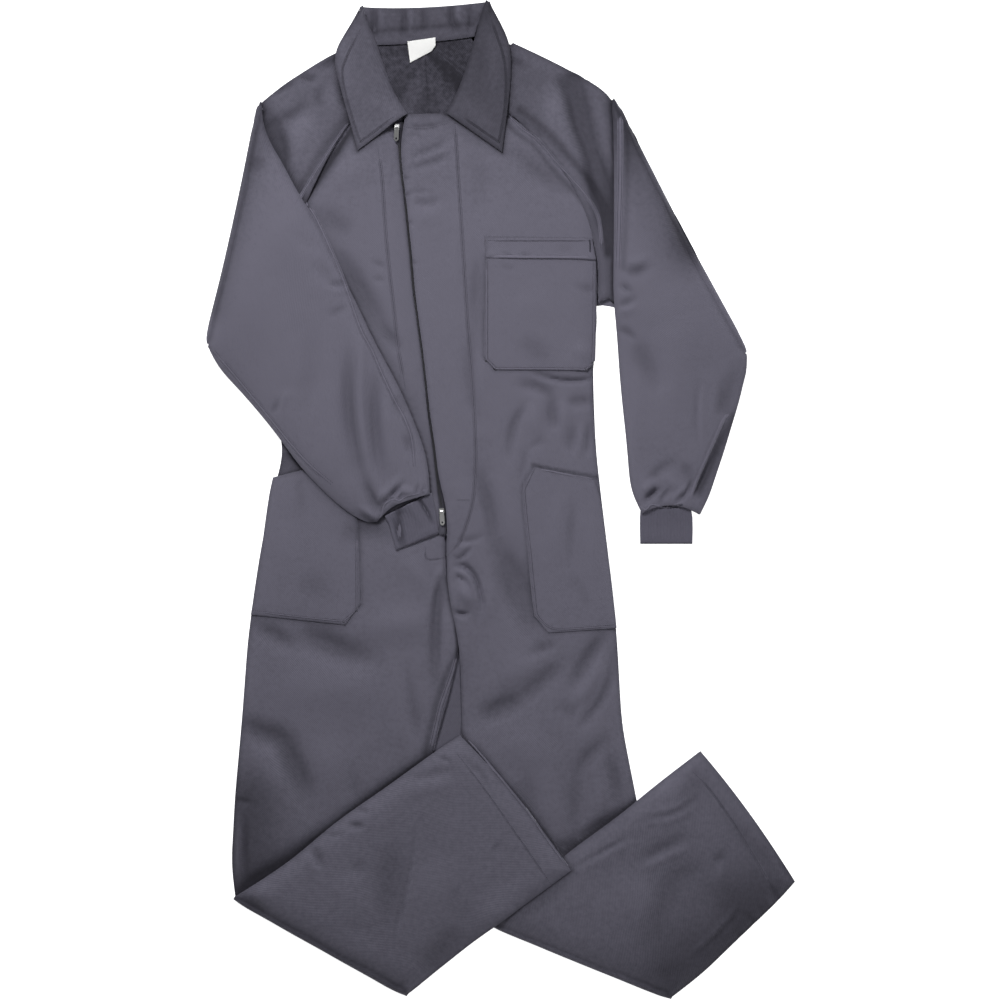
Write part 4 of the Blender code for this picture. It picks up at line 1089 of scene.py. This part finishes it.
CREASES["back_right"] = [
    (-165, -512, -163, -572, -174, -642, 18, -2.4),
    (-123, -480, -140, -580, -160, -655, 3, -1.2),
    (-117, -480, -134, -580, -153, -655, 4, 0.7),
    (-279, -520, -273, -536, -267, -550, 6, -2.4),
    (-290, -528, -284, -540, -276, -556, 5, 1.2),
    (-226, -484, -214, -488, -203, -486, 4, -2.0),
    (-213, -462, -205, -466, -196, -466, 3.5, -1.4),
    (-262, -500, -250, -502, -238, -500, 3.5, -1.2),
    (-226, -548, -215, -552, -203, -552, 9, -1.0),
    (-60, -640, -92, -676, -118, -712, 15, -2.8),
    (-40, -600, -50, -620, -56, -640, 22, -0.8),
    (-150, -420, -108, -413, -68, -402, 7, -1.2),
    (-96, -384, -84, -388, -72, -394, 3, -1.4),
    (-140, -432, -100, -428, -66, -420, 9, 1.0),
    (-385, -592, -368, -606, -348, -620, 8, -2.0),
    (-36, -396, -27, -412, -18, -428, 4, -1.2),
    (-52, -388, -40, -402, -32, -410, 4, -0.8),
    (-230, -560, -220, -600, -215, -640, 22, 1.8),
    (-110, -540, -90, -580, -70, -600, 26, 1.6),
    (-150, -742, -140, -732, -132, -730, 4, 1.0),
    (-146, -748, -138, -742, -128, -736, 3, -1.0),
    (5, -510, -6, -522, -10, -530, 4, -0.8),
]
CREASES["back_left"] = [
    (208, -541, 242, -523, 280, -504, 8, -3.0),
    (212, -552, 245, -536, 284, -517, 5, 2.0),
    (256, -552, 246, -605, 214, -672, 15, -3.2),
    (200, -560, 190, -610, 160, -650, 22, 2.2),
    (320, -546, 328, -538, 336, -528, 5, -2.4),
    (332, -552, 328, -562, 325, -572, 4, 1.2),
    (256, -572, 280, -560, 306, -546, 11, -2.0),
    (208, -466, 252, -463, 290, -440, 4, 1.4),
    (222, -474, 256, -471, 286, -452, 4, -1.0),
    (226, -482, 260, -478, 292, -458, 4, 1.4),
    (296, -398, 287, -445, 266, -492, 13, -2.2),
    (268, -420, 250, -440, 226, -456, 12, 1.0),
    (340, -480, 380, -520, 408, -548, 11, -2.4),
    (362, -450, 372, -470, 384, -486, 9, 1.4),
    (283, -682, 330, -638, 356, -606, 3, 1.6),
    (288, -690, 334, -646, 360, -614, 4, -1.6),
    (405, -580, 412, -590, 417, -600, 3, -2.2),
    (394, -590, 402, -600, 408, -610, 3, 1.4),
    (370, -620, 377, -630, 381, -640, 3.5, -2.0),
    (384, -606, 392, -616, 398, -624, 3, -1.2),
    (350, -640, 357, -650, 362, -660, 4, -1.4),
    (112, -549, 165, -519, 192, -504, 3, -1.6),
    (118, -556, 168, -528, 196, -512, 4, 0.9),
    (330, -560, 345, -600, 340, -640, 18, -1.6),
    (300, -600, 310, -640, 300, -680, 16, 1.2),
    (228, -700, 250, -706, 268, -700, 10, -1.2),
    (420, -545, 426, -556, 430, -566, 3, -1.6),
    (70, -580, 110, -600, 150, -640, 20, 1.0),
    (10, -640, 70, -600, 105, -560, 8, -1.8),
]
CREASES["hip_pocket_left"] = [
    (108, 15, 105, -45, 100, -107, 8, -2.2),
    (88, 10, 84, -40, 82, -90, 9, 1.0),
    (90, -112, 112, -126, 133, -130, 11, -1.4),
    (124, -128, 128, -150, 134, -172, 8, -1.2),
    (136, -20, 140, -70, 146, -120, 9, 1.0),
]
CREASES["hip_pocket_right"] = [
    (-302, 30, -299, 10, -298, -20, 6, -1.2),
    (-300, -110, -280, -125, -250, -130, 14, -1.2),
    (-240, -46, -215, -52, -196, -50, 12, -2.0),
    (-330, -30, -320, -80, -325, -130, 14, 1.2),
]
CREASES["chest_pocket"] = [
    (28, 244, 52, 229, 74, 211, 12, -1.6),
    (110, 322, 130, 316, 142, 314, 5, -1.2),
    (0, 352, 12, 348, 24, 350, 3.5, -1.0),
    (20, 300, 50, 290, 90, 300, 22, 1.0),
    (110, 230, 125, 222, 140, 216, 8, 1.0),
]
CREASES["chest_pocket_band"] = [
    (6, 370, 14, 366, 22, 364, 2.5, -0.8),
    (30, 365, 38, 368, 46, 366, 2.5, -0.8),
    (86, 380, 98, 378, 110, 380, 7, -0.7),
]
CREASES["collar_band"] = [
    (-190, 735, -188, 712, -190, 690, 4, -2.2),
    (-180, 735, -178, 712, -180, 695, 4, 1.2),
    (-145, 740, -143, 715, -146, 692, 4, -2.0),
    (-136, 740, -134, 715, -138, 695, 4, 1.4),
    (-116, 738, -113, 718, -116, 700, 4, -1.6),
    (-70, 740, -72, 722, -60, 702, 4, -2.4),
    (-60, 740, -62, 724, -50, 706, 4, 1.6),
    (-46, 742, -44, 720, -46, 700, 3.5, -1.6),
]
CREASES["collar_leaf_left"] = [
    (-14, 700, -10, 640, 0, 590, 8, 0.8),
    (-30, 690, -26, 660, -24, 630, 9, -0.8),
    (-60, 600, -30, 570, -5, 545, 8, 0.6),
]
CREASES["collar_leaf_right"] = [
    (-230, 690, -226, 640, -216, 590, 9, 0.8),
    (-200, 600, -180, 590, -160, 585, 8, 0.6),
]
CREASES["cuff_right"] = [
    (-152, -18, -150, -44, -144, -70, 5, -3.6),
    (-158, -16, -150, -20, -140, -14, 5, -2.0),
    (-140, 4, -130, -16, -112, -40, 6, 2.4),
    (-124, 4, -112, -14, -101, -36, 3, -4.0),
    (-168, -26, -162, -48, -155, -72, 3, 1.2),
    (-160, -30, -154, -50, -148, -72, 2.6, -2.0),
    (-130, -58, -112, -48, -98, -42, 4, 1.6),
]
print("creases set by hand:", sum(len(rows) for rows in CREASES.values()))

# %% [markdown]
# ## The main panels, from the floor up
# The panels are made in the order in which they lie on each other. A back is worked in
# two goes: the part on the floor first, and the part that folds over the top last.


# %% Let the cloth stand up from its edges
RIMS = {}
STEEP = 0.45
LOOKS_UP = 0.3
RIM_SHADE = 4.0


def standing(mesh, place, facing, height, reach):
    ends = np.array([e.vertices[:] for e in mesh.edges])
    number = {key: k for k, key in enumerate(mesh.edge_keys)}
    sides = np.zeros(len(mesh.edges), dtype=int)
    for face in mesh.polygons:
        for key in face.edge_keys:
            sides[number[key]] += 1
    rim = set(ends[sides == 1].ravel().tolist()) | set(np.nonzero(abs(facing) < STEEP)[0].tolist())
    tree = KDTree(len(rim))
    for k in rim:
        tree.insert((place[k, 0], place[k, 1], 0), k)
    tree.balance()
    RIMS[mesh.name] = tree
    up = np.zeros(len(place))
    near = np.zeros(len(place))
    for k in np.nonzero(facing > LOOKS_UP)[0]:
        gap = tree.find((place[k, 0], place[k, 1], 0))[2] / MM
        up[k] = height * (1 - (1 - min(gap / reach, 1)) ** 2)
        # closeness to the edge, used for a painted dark band along it
        near[k] = math.exp(-(gap / RIM_SHADE) ** 2)
    return up, near


# %% Paint shade into a sheet beside an edge or a line
HOLLOW_STEP = 4.0
CLOSE_SHADE = 3.2


# painted shade and light: the value stored on the sheet darkens its colour where it is above zero and
# lightens it where it is below
def set_painted_shading(mesh, values):
    layer = mesh.attributes.get("painted_shading") or mesh.attributes.new("painted_shading", "FLOAT", "POINT")
    layer.data.foreach_set("value", np.clip(values, -0.8, 1.0).astype(np.float32))


def along_seam(lower, route, strength, reach):
    line = smooth_route(route, HOLLOW_STEP)[0] * MM
    tree = KDTree(len(line))
    for k, (x, y) in enumerate(line):
        tree.insert((x, y, 0), k)
    tree.balance()
    paint_shading_near(lower, tree, line, strength, reach)


def in_contact(lower, upper, strength, reach):
    rim = RIMS[SHEETS[upper].name]
    other = column(SHEETS[upper], "co", 3)
    paint_shading_near(lower, rim, other, 0.45 * strength, 1.5 * reach)
    paint_shading_near(lower, rim, other, strength, min(reach, CLOSE_SHADE))


# paint shade into the lower sheet near a line, strongest at the line and fading over the reach
def paint_shading_near(lower, tree, other, strength, reach):
    mesh = SHEETS[lower]
    place = column(mesh, "co", 3)
    painted_shading = np.zeros(len(place), dtype=np.float32)
    mesh.attributes["painted_shading"].data.foreach_get("value", painted_shading)
    margin = 3 * reach * MM
    low = other[:, :2].min(axis=0) - margin
    high = other[:, :2].max(axis=0) + margin
    inside_box = ((place[:, :2] > low) & (place[:, :2] < high)).all(axis=1)
    for k in np.nonzero(inside_box)[0]:
        gap = tree.find((place[k, 0], place[k, 1], 0))[2] / MM
        painted_shading[k] += strength * math.exp(-(gap / reach) ** 2)
    set_painted_shading(mesh, painted_shading)


# %% Shape one panel
# how strongly a panel's creases are pushed in, how much painted shade the whole panel gets,
# and how high its cloth stands away from its edges, and over what distance
DEPTH = {"back_left": 1.15, "back_right": 2.0, "front_left": 2.0, "front_right": 2.3}
USUAL_DEPTH = 2.5
BREADTH = 1.3
PAINTED_PANEL_SHADING = {"collar_leaf_left": 0.6, "collar_leaf_right": 0.22, "collar_band": 0.28, "sleeve_left_front": 0.22,
        "sleeve_right_front": 0.15, "front_left": -0.06, "hip_pocket_left": -0.12, "back_left": 0.04}
STAND = {"front": (3.0, 42), "sleeve": (4.6, 36), "turned": (5.0, 34), "pocket": (1.2, 20),
         "plain": (0.6, 15)}
BAND_GROWTH = (1.08, 1.0)
ABOVE_FLOOR = 0.25 * MM
# shadows in the neck: the line, its half width and its darkness
NECK_HOLLOWS = [
    (-172, 660, -156, 620, -140, 585, 11, 0.75),
    (-128, 640, -118, 615, -104, 592, 14, 0.45),
    (-66, 668, -60, 636, -66, 600, 9, 0.95),
    (-140, 588, -118, 582, -92, 580, 10, 0.5),
    (-150, 676, -100, 680, -50, 686, 7, 0.5),
]


def creased(name, mesh, relief, seed, wall, stand):
    place = column(mesh, "co", 3)
    middle = place.mean(axis=0)
    growth = BAND_GROWTH if name == "collar_band" else 1.0
    place[:, :2] = middle[:2] + (place[:, :2] - middle[:2]) * growth
    normal_z = column(mesh, "normal", 3)[:, 2]
    x = place[:, 0] / MM
    y = place[:, 1] / MM
    up, near = standing(mesh, place, normal_z, *STAND[stand])
    up += relief * ripple(x, y, 70, seed) + 0.45 * relief * ripple(x, y, 24, seed + 50)
    fold = np.zeros(len(place))
    for row in CREASES[name]:
        fold += DEPTH.get(name, USUAL_DEPTH) * crease_height(x, y, (*row[:6], row[6] * BREADTH, row[7]))
    up += fold
    # painted shade: the panel's own painted shade, a dark band along its edges, darker in its troughs and
    # paler on its ridges
    set_painted_shading(mesh, PAINTED_PANEL_SHADING.get(name, 0.0) + 0.3 * near - np.clip(fold, -6, 4) * 0.06)
    place[:, 2] += np.clip((normal_z - 0.1) / 0.4, 0, 1) * up * MM
    move_to(mesh, place)
    lift_clear(mesh, wall)
    place = column(mesh, "co", 3)
    upward = np.clip(column(mesh, "normal", 3)[:, 2], 0, 1)
    place[:, 2] = np.maximum(place[:, 2], wall * upward + ABOVE_FLOOR)
    move_to(mesh, place)


def lay(name, choice, part="", level=3, relief=0.55, seed=1, wall=CLOTH, stand="plain"):
    mesh = divided(name, part, level) if part else rounded(name, cells_of(name, choice), level)
    if part == "floor":
        place = column(mesh, "co", 3) / MM
        # painted shadow: the shadows in the neck are painted into the parts on the floor
        set_painted_shading(mesh, sum(crease_height(place[:, 0], place[:, 1], row) for row in NECK_HOLLOWS))
    else:
        creased(name, mesh, relief, seed, wall, stand)
    add_to_pile(mesh)
    sheet = f"{name}_{part}" if part else name
    SHEETS[sheet] = mesh
    print(sheet, len(mesh.polygons), "cells")


# %% Backs on the floor
for side in ("left", "right"):
    for panel in (f"back_{side}", f"sleeve_{side}_back"):
        lay(panel, "wraps", "floor")
allowance("centre_back_seam", "left_back_panel", [(-108, 676), (-108, 640), (-108, 575)])
allowance("crotch_seam", "left_back_panel", [(-62, -190), (-59, -260), (-58, -320), (-57, -372)])
allowance("neck_seam_allowance", "left_back_panel",
          [(-212, 690), (-180, 684), (-142, 685), (-90, 690), (-40, 695), (-10, 716)])
allowance("band_end_allowance", "left_back_panel", [(-42, 690), (-35, 712), (-27, 743)])
allowance("right_raglan_allowance", "right_back_panel",
          [(-216, 588), (-240, 548), (-266, 508), (-292, 466), (-312, 428)], 2)
allowance("underarm_allowance", "left_back_panel", [(145, 345), (148, 312), (150, 292)], tone=0.5)

# %% [markdown]
# ## The fronts and the zip
# The right front lies lowest, with the zip tape along its edge. The left front closes
# over both, and its placket is stitched down in one long line that turns to the edge at
# the end of the fly. Made in this order, each sheet rests on the one before.

# %% Right front with its zip facing and inner leg seam
lay("front_right", "up", seed=3, stand="front")
topstitched("zip_facing_edge", "right_front_panel",
            [(-183, 526), (-177, 484), (-172, 410), (-166, 346), (-160, 294), (-153, 228), (-148, 200),
             (-142, 168)])
felled("inner_leg_seam", "right_front_panel",
       [(-62, -228), (-70, -256), (-81, -288), (-90, -316), (-104, -378)])

# %% Zip and fly facing
lay("zip_tape", "up", seed=4, relief=0.1)
zip_teeth("zip_teeth_row", "zip_tape_strip",
          [(-151, 532), (-147, 485), (-141, 441), (-134, 369), (-129, 312), (-123, 269), (-117, 225),
           (-111, 174), (-107, 131), (-99, 81), (-94, 31), (-88, -10)])
lay("fly_facing", "up", seed=5, relief=0.3)

# %% Left front with its placket
lay("front_left", "up", seed=6, stand="front")
topstitched("placket_stitching", "left_front_panel",
            [(-68, 577), (-65, 522), (-57, 398), (-51, 300), (-48, 255), (-42, 183), (-37, 90), (-38, 30),
             (-43, -12), (-60, -60), (-79, -84)])
topstitched("placket_top", "left_front_panel", [(-140, 558), (-110, 557), (-80, 564)], 0.7)
topstitched("centre_front_seam", "left_front_panel", [(-81, -51), (-81, -90), (-81, -124)], 0.8)
topstitched("fly_end", "left_front_panel", [(-112, -72), (-109, -88), (-84, -87)], 0.6)
sewn("fly_tack", "left_front_panel", [[(-64, 0), (-55, 0), (-46, 0)]], 1.2, (0.3, 0.8, 0.25))

# %% [markdown]
# ## Patch pockets
# A patch pocket is a hemmed piece of the same twill, sewn on along its sides and open at
# its mouth. The hem is a strip laid along the outline, with its stitches in the dip.

# %% Pockets
for panel in ("hip_pocket_right", "hip_pocket_left", "chest_pocket"):
    lay(panel, "up", seed=len(panel), relief=0.4, stand="pocket")
hemmed("chest_pocket_edge", "chest_patch_pocket",
       [(-22, 357), (-22, 284), (-22, 212), (-21, 209), (-9, 197), (-6, 195), (60, 195), (126, 194),
        (130, 195), (139, 203), (141, 207), (143, 280), (143, 357)], 0.6)
lay("chest_pocket_band", "up", seed=17, relief=0.3, stand="pocket")
hemmed("chest_pocket_top", "chest_pocket_hem", [(142, 393), (60, 393), (-21, 393)], 0.8)
stepped("chest_pocket_mouth", "chest_pocket_hem", [(-18, 363), (60, 362), (141, 362)])
sewn("chest_pocket_tack", "chest_pocket_hem", [[(134, 390), (135, 381), (135, 372)]], 0.9, (0.4, 1.3, 0.4))
stepped("left_hip_mouth", "left_hip_pocket", [(149, 31), (98, 40), (62, 47), (52, 49)], 0.6, 0.6)
hemmed("left_hip_edge", "left_hip_pocket",
       [(50, 49), (42, 32), (35, 17), (35, 8), (39, -37), (44, -82), (52, -162), (56, -176), (70, -190),
        (84, -195), (120, -194), (171, -190)], 0.5)
hemmed("right_hip_edge", "right_hip_pocket",
       [(-370, -168), (-300, -177), (-237, -183), (-233, -182), (-215, -167), (-213, -163), (-213, -105),
        (-213, -48)], 0.5)

# %% [markdown]
# ## Raglan sleeves and cuffs
# A raglan sleeve runs up to the neck, so its seam crosses the front aslant. The front
# half of a sleeve ends inside the fold, and the knitted cuff closes the sleeve's end.

# %% Shoulders and cuffs
for panel in ("sleeve_right_front", "sleeve_left_front"):
    lay(panel, "inside", seed=len(panel), stand="front")
felled("right_raglan_seam", "right_front_panel",
       [(-222, 573), (-248, 536), (-274, 496), (-298, 456), (-314, 428)], 0.6)
felled("left_raglan_seam", "left_front_panel",
       [(9, 582), (32, 558), (57, 540), (87, 504), (128, 458), (148, 423), (153, 375)], 0.65)
for name in HARDWARE:
    add_to_pile(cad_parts[name].data)
# x and y of both ends of four rows, from the sleeve to the open end
rib_cuff("left_cuff", "cuff_left",
         [(211, -11, 286, -9), (210, -26, 289, -26), (210, -42, 289.5, -42), (210.5, -66, 289, -66)])
rib_cuff("right_cuff", "cuff_right",
         [(-173, -24, -103, 11), (-166, -38, -98, -6), (-162, -54, -95, -24), (-156, -76, -92, -50)])

# %% [markdown]
# ## Collar and label
# The collar is two layers with a stiffening between them, so it is thicker and smoother
# than the rest and is topstitched near its edge. The label in the neck is blank.

# %% Collar and label
lay("collar_band", "up", seed=9, relief=0.2, wall=COLLAR_WALL)
lay("neck_label", "up", seed=9, relief=0.1, wall=0.6 * MM)
for panel in ("collar_leaf_right", "collar_leaf_left"):
    lay(panel, "up", seed=10, relief=0.3, wall=COLLAR_WALL)
topstitched("right_leaf_stitching", "right_collar_leaf",
            [(-210, 705), (-231, 660), (-236, 633), (-224, 582), (-210, 540), (-204, 541), (-153, 578)], 0.7,
            material=TWILL["collar"], tone=PAINTED_PANEL_SHADING["collar_leaf_right"])
topstitched("left_leaf_stitching", "left_collar_leaf",
            [(-63, 579), (-7, 540), (-1, 541), (8, 600), (6, 660), (-16, 729)], 0.7,
            material=TWILL["collar"], tone=PAINTED_PANEL_SHADING["collar_leaf_left"])

# %% [markdown]
# ## Sleeves and legs folded over
# These parts lie on top of all the others. They are made last, so that they rest on the
# whole pile, and each carries the seams and the hem of the side that it shows.

# %% The sleeves' parts that fold over
for panel in ("sleeve_left_back", "sleeve_right_back"):
    lay(panel, "wraps", "turned", seed=len(panel) + 20, stand="sleeve")
felled("left_sleeve_seam", "left_sleeve_back", [(180, 582), (180, 495), (178, 412), (176, 348)])
felled("right_sleeve_seam", "right_sleeve_back",
       [(-291, 446), (-273, 417), (-238, 338), (-210, 260), (-192, 225), (-176, 188), (-158, 150),
        (-142, 120), (-132, 90), (-128, 51)], 0.7)
felled("right_elbow_seam", "right_sleeve_back",
       [(-428, 222), (-394, 182), (-343, 120), (-292, 60), (-252, 25)], 0.8)
stepped("left_sleeve_end", "left_sleeve_back",
        [(205, -2), (210, -11), (219, -16), (227, -8), (240, -11), (254, -12), (268, -6), (282, -3)],
        0.7, 0.7, 0.8)
allowance("left_cuff_allowance", "left_sleeve_back",
          [(244, -11.5), (254, -11), (266, -9.5), (280, -7)], 0.36, 0.4)
stepped("right_sleeve_end", "right_sleeve_back",
        [(-188, -32), (-177, -24), (-172, -8), (-160, 0), (-150, -2), (-140, 4), (-124, 8), (-116, 12),
         (-105, 12)], 0.7, 0.6, 0.9)
stepped("left_sleeve_fold", "left_sleeve_back",
        [(285, -4), (298, 30), (312, 63), (326, 94), (338, 120), (348, 132)], 1.2, 1.3)

# %% The turned-up legs
for panel in ("back_left", "back_right"):
    lay(panel, "wraps", "turned", seed=len(panel) + 20, stand="turned")
topstitched("right_hem_stitching", "right_back_panel",
            [(-64, -380), (-32, -420), (0, -464), (60, -550), (76, -574)],
            0.6, 0.15, TWILL["right_turn_up"], -0.15)
topstitched("left_hem_stitching", "left_back_panel",
            [(290, -408), (318, -438), (364, -505), (408, -580)], 0.8, 0.5, TWILL["left_turn_up"])
stepped("right_hem_layer", "right_back_panel",
        [(-55, -357), (-47, -362), (-5, -411), (22, -444), (44, -472), (72, -512), (101, -550)], 0.55, 0.8)

# %% [markdown]
# ## Dark lines where sheets meet
# Little light gets in beside an edge that lies on other cloth, or into a seam. That shade is
# painted into the lower sheet's colour, strongest at the line and fading within some millimetres.

# %% Paint shade into the cloth under an edge
RIGHT_SLEEVE = "sleeve_right_back_turned"
LEFT_SLEEVE = "sleeve_left_back_turned"
RIGHT_LEG = "back_right_turned"
LEFT_LEG = "back_left_turned"
# upper sheet, strength, reach
CONTACTS = {
    "front_right": ((RIGHT_LEG, 0.9, 8), (RIGHT_SLEEVE, 0.7, 9), ("front_left", 0.45, 4),
                    ("hip_pocket_right", 0.3, 4), ("collar_leaf_right", 0.6, 6)),
    "front_left": ((RIGHT_LEG, 0.9, 6), (LEFT_LEG, 0.9, 6), (LEFT_SLEEVE, 0.9, 9), ("chest_pocket", 0.3, 4),
                   ("hip_pocket_left", 0.25, 4), ("collar_leaf_left", 0.6, 6)),
    LEFT_LEG: ((RIGHT_LEG, 0.5, 6),),
    "fly_facing": ((RIGHT_SLEEVE, 0.6, 9), ("front_left", 0.9, 7)),
    "zip_tape": (("front_left", 0.9, 5),),
    "sleeve_left_front": ((LEFT_SLEEVE, 0.8, 9), ("collar_leaf_left", 0.5, 7)),
    "sleeve_right_front": ((RIGHT_SLEEVE, 0.8, 9), ("collar_leaf_right", 0.5, 7)),
    "hip_pocket_right": ((RIGHT_SLEEVE, 0.5, 8),),
}
for lower, uppers in CONTACTS.items():
    for upper, strength, reach in uppers:
        in_contact(lower, upper, strength, reach)
print("contacts:", sum(len(uppers) for uppers in CONTACTS.values()))

# %% Paint shade into the cloth along seams, in hollows and over broad dim stretches
# line, strength, reach
HOLLOWS = {
    "front_left": (
        ([(3, 574), (26, 550), (51, 532), (80, 496), (121, 451), (141, 417), (146, 375)], 0.45, 5),
        ([(50, 53), (62, 50), (98, 43), (149, 34)], 0.7, 3.2),
        ([(-180, 560), (-150, 585), (-60, 590)], 0.3, 40)),
    "front_right": (
        ([(-214, 568), (-240, 531), (-266, 491), (-292, 451)], 0.7, 5),
        ([(-64, -190), (-61, -230), (-58, -300), (-57, -372)], 0.8, 4),
        ([(-380, -450), (-380, -520), (-370, -590)], 0.6, 50),
        ([(-62, -228), (-78, -256), (-89, -288), (-98, -316), (-112, -378)], 0.5, 6)),
    "sleeve_left_front": (
        ([(30, 585), (66, 556), (98, 520), (140, 470), (158, 425), (161, 370)], 0.6, 7),),
    "sleeve_right_front": (
        ([(-229, 577), (-255, 540), (-281, 500), (-300, 462)], 0.35, 7),),
    LEFT_SLEEVE: (
        ([(190, 560), (190, 495), (188, 412), (184, 348)], 0.35, 5),
        ([(300, 12), (318, 52), (334, 90), (350, 125)], 0.5, 8),
        ([(176, 590), (230, 475), (280, 380)], 0.65, 34)),
    RIGHT_SLEEVE: (
        ([(-362, 580), (-395, 440), (-432, 290)], 0.45, 22),),
    RIGHT_LEG: (
        ([(-390, -597), (-270, -668), (-145, -737)], 0.4, 14),),
    LEFT_LEG: (
        ([(390, -600), (330, -655), (265, -700)], 0.6, 60),),
}
for lower, hollows in HOLLOWS.items():
    for route, strength, reach in hollows:
        along_seam(lower, route, strength, reach)
print("hollows:", sum(len(hollows) for hollows in HOLLOWS.values()))

# %% [markdown]
# ## Fewer cells where nothing shows
# Cloth that lies well under other cloth keeps its shape but needs no fine cells.

# %% Thin out the covered cloth
COVER = 2.0 * MM
MARGIN = 14 * MM


def covered(x, y, z):
    for dx, dy in ((0, 0), (MARGIN, 0), (-MARGIN, 0), (0, MARGIN), (0, -MARGIN)):
        if pile_height(x + dx, y + dy) < z + COVER:
            return False
    return True


COVERED = ("front_left", "front_right", "sleeve_left_front", "sleeve_right_front", "fly_facing", "zip_tape")
for panel in COVERED:
    cloth = bmesh.new()
    cloth.from_mesh(SHEETS[panel])
    before = len(cloth.faces)
    hidden = [v for v in cloth.verts if not v.is_boundary and covered(*v.co)]
    bmesh.ops.unsubdivide(cloth, verts=hidden, iterations=2)
    cloth.to_mesh(SHEETS[panel])
    print(panel, before, "cells, now", len(cloth.faces))
    cloth.free()

# %% [markdown]
# ## The finished pieces
# Each sheet gets its wall and stands for one CAD panel. A back or a sleeve that folds
# over is one piece.

# %% Give every panel its wall
walled("right_front_panel", "front_right")
walled("left_front_panel", "front_left")
walled("right_back_panel", "back_right", materials=(inside, TWILL["right_turn_up"]))
walled("left_back_panel", "back_left", materials=(inside, TWILL["left_turn_up"]))
walled("right_sleeve_back", "sleeve_right_back",
       materials=(TWILL["body"], TWILL["right_sleeve"]))
walled("left_sleeve_back", "sleeve_left_back",
       materials=(TWILL["body"], TWILL["left_sleeve"]))
walled("right_sleeve_front", "sleeve_right_front")
walled("left_sleeve_front", "sleeve_left_front")
walled("chest_patch_pocket", "chest_pocket")
walled("chest_pocket_hem", "chest_pocket_band")
walled("right_hip_pocket", "hip_pocket_right")
walled("left_hip_pocket", "hip_pocket_left")
walled("fly_facing_strip", "fly_facing")
walled("zip_tape_strip", "zip_tape", 0.8 * MM, (tape_weave,))
walled("neck_band", "collar_band", COLLAR_WALL, (TWILL["collar"],))
walled("right_collar_leaf", "collar_leaf_right", COLLAR_WALL, (TWILL["collar"],))
walled("left_collar_leaf", "collar_leaf_left", COLLAR_WALL, (TWILL["collar"],))
walled("blank_neck_label", "neck_label", 0.6 * MM, (satin,))
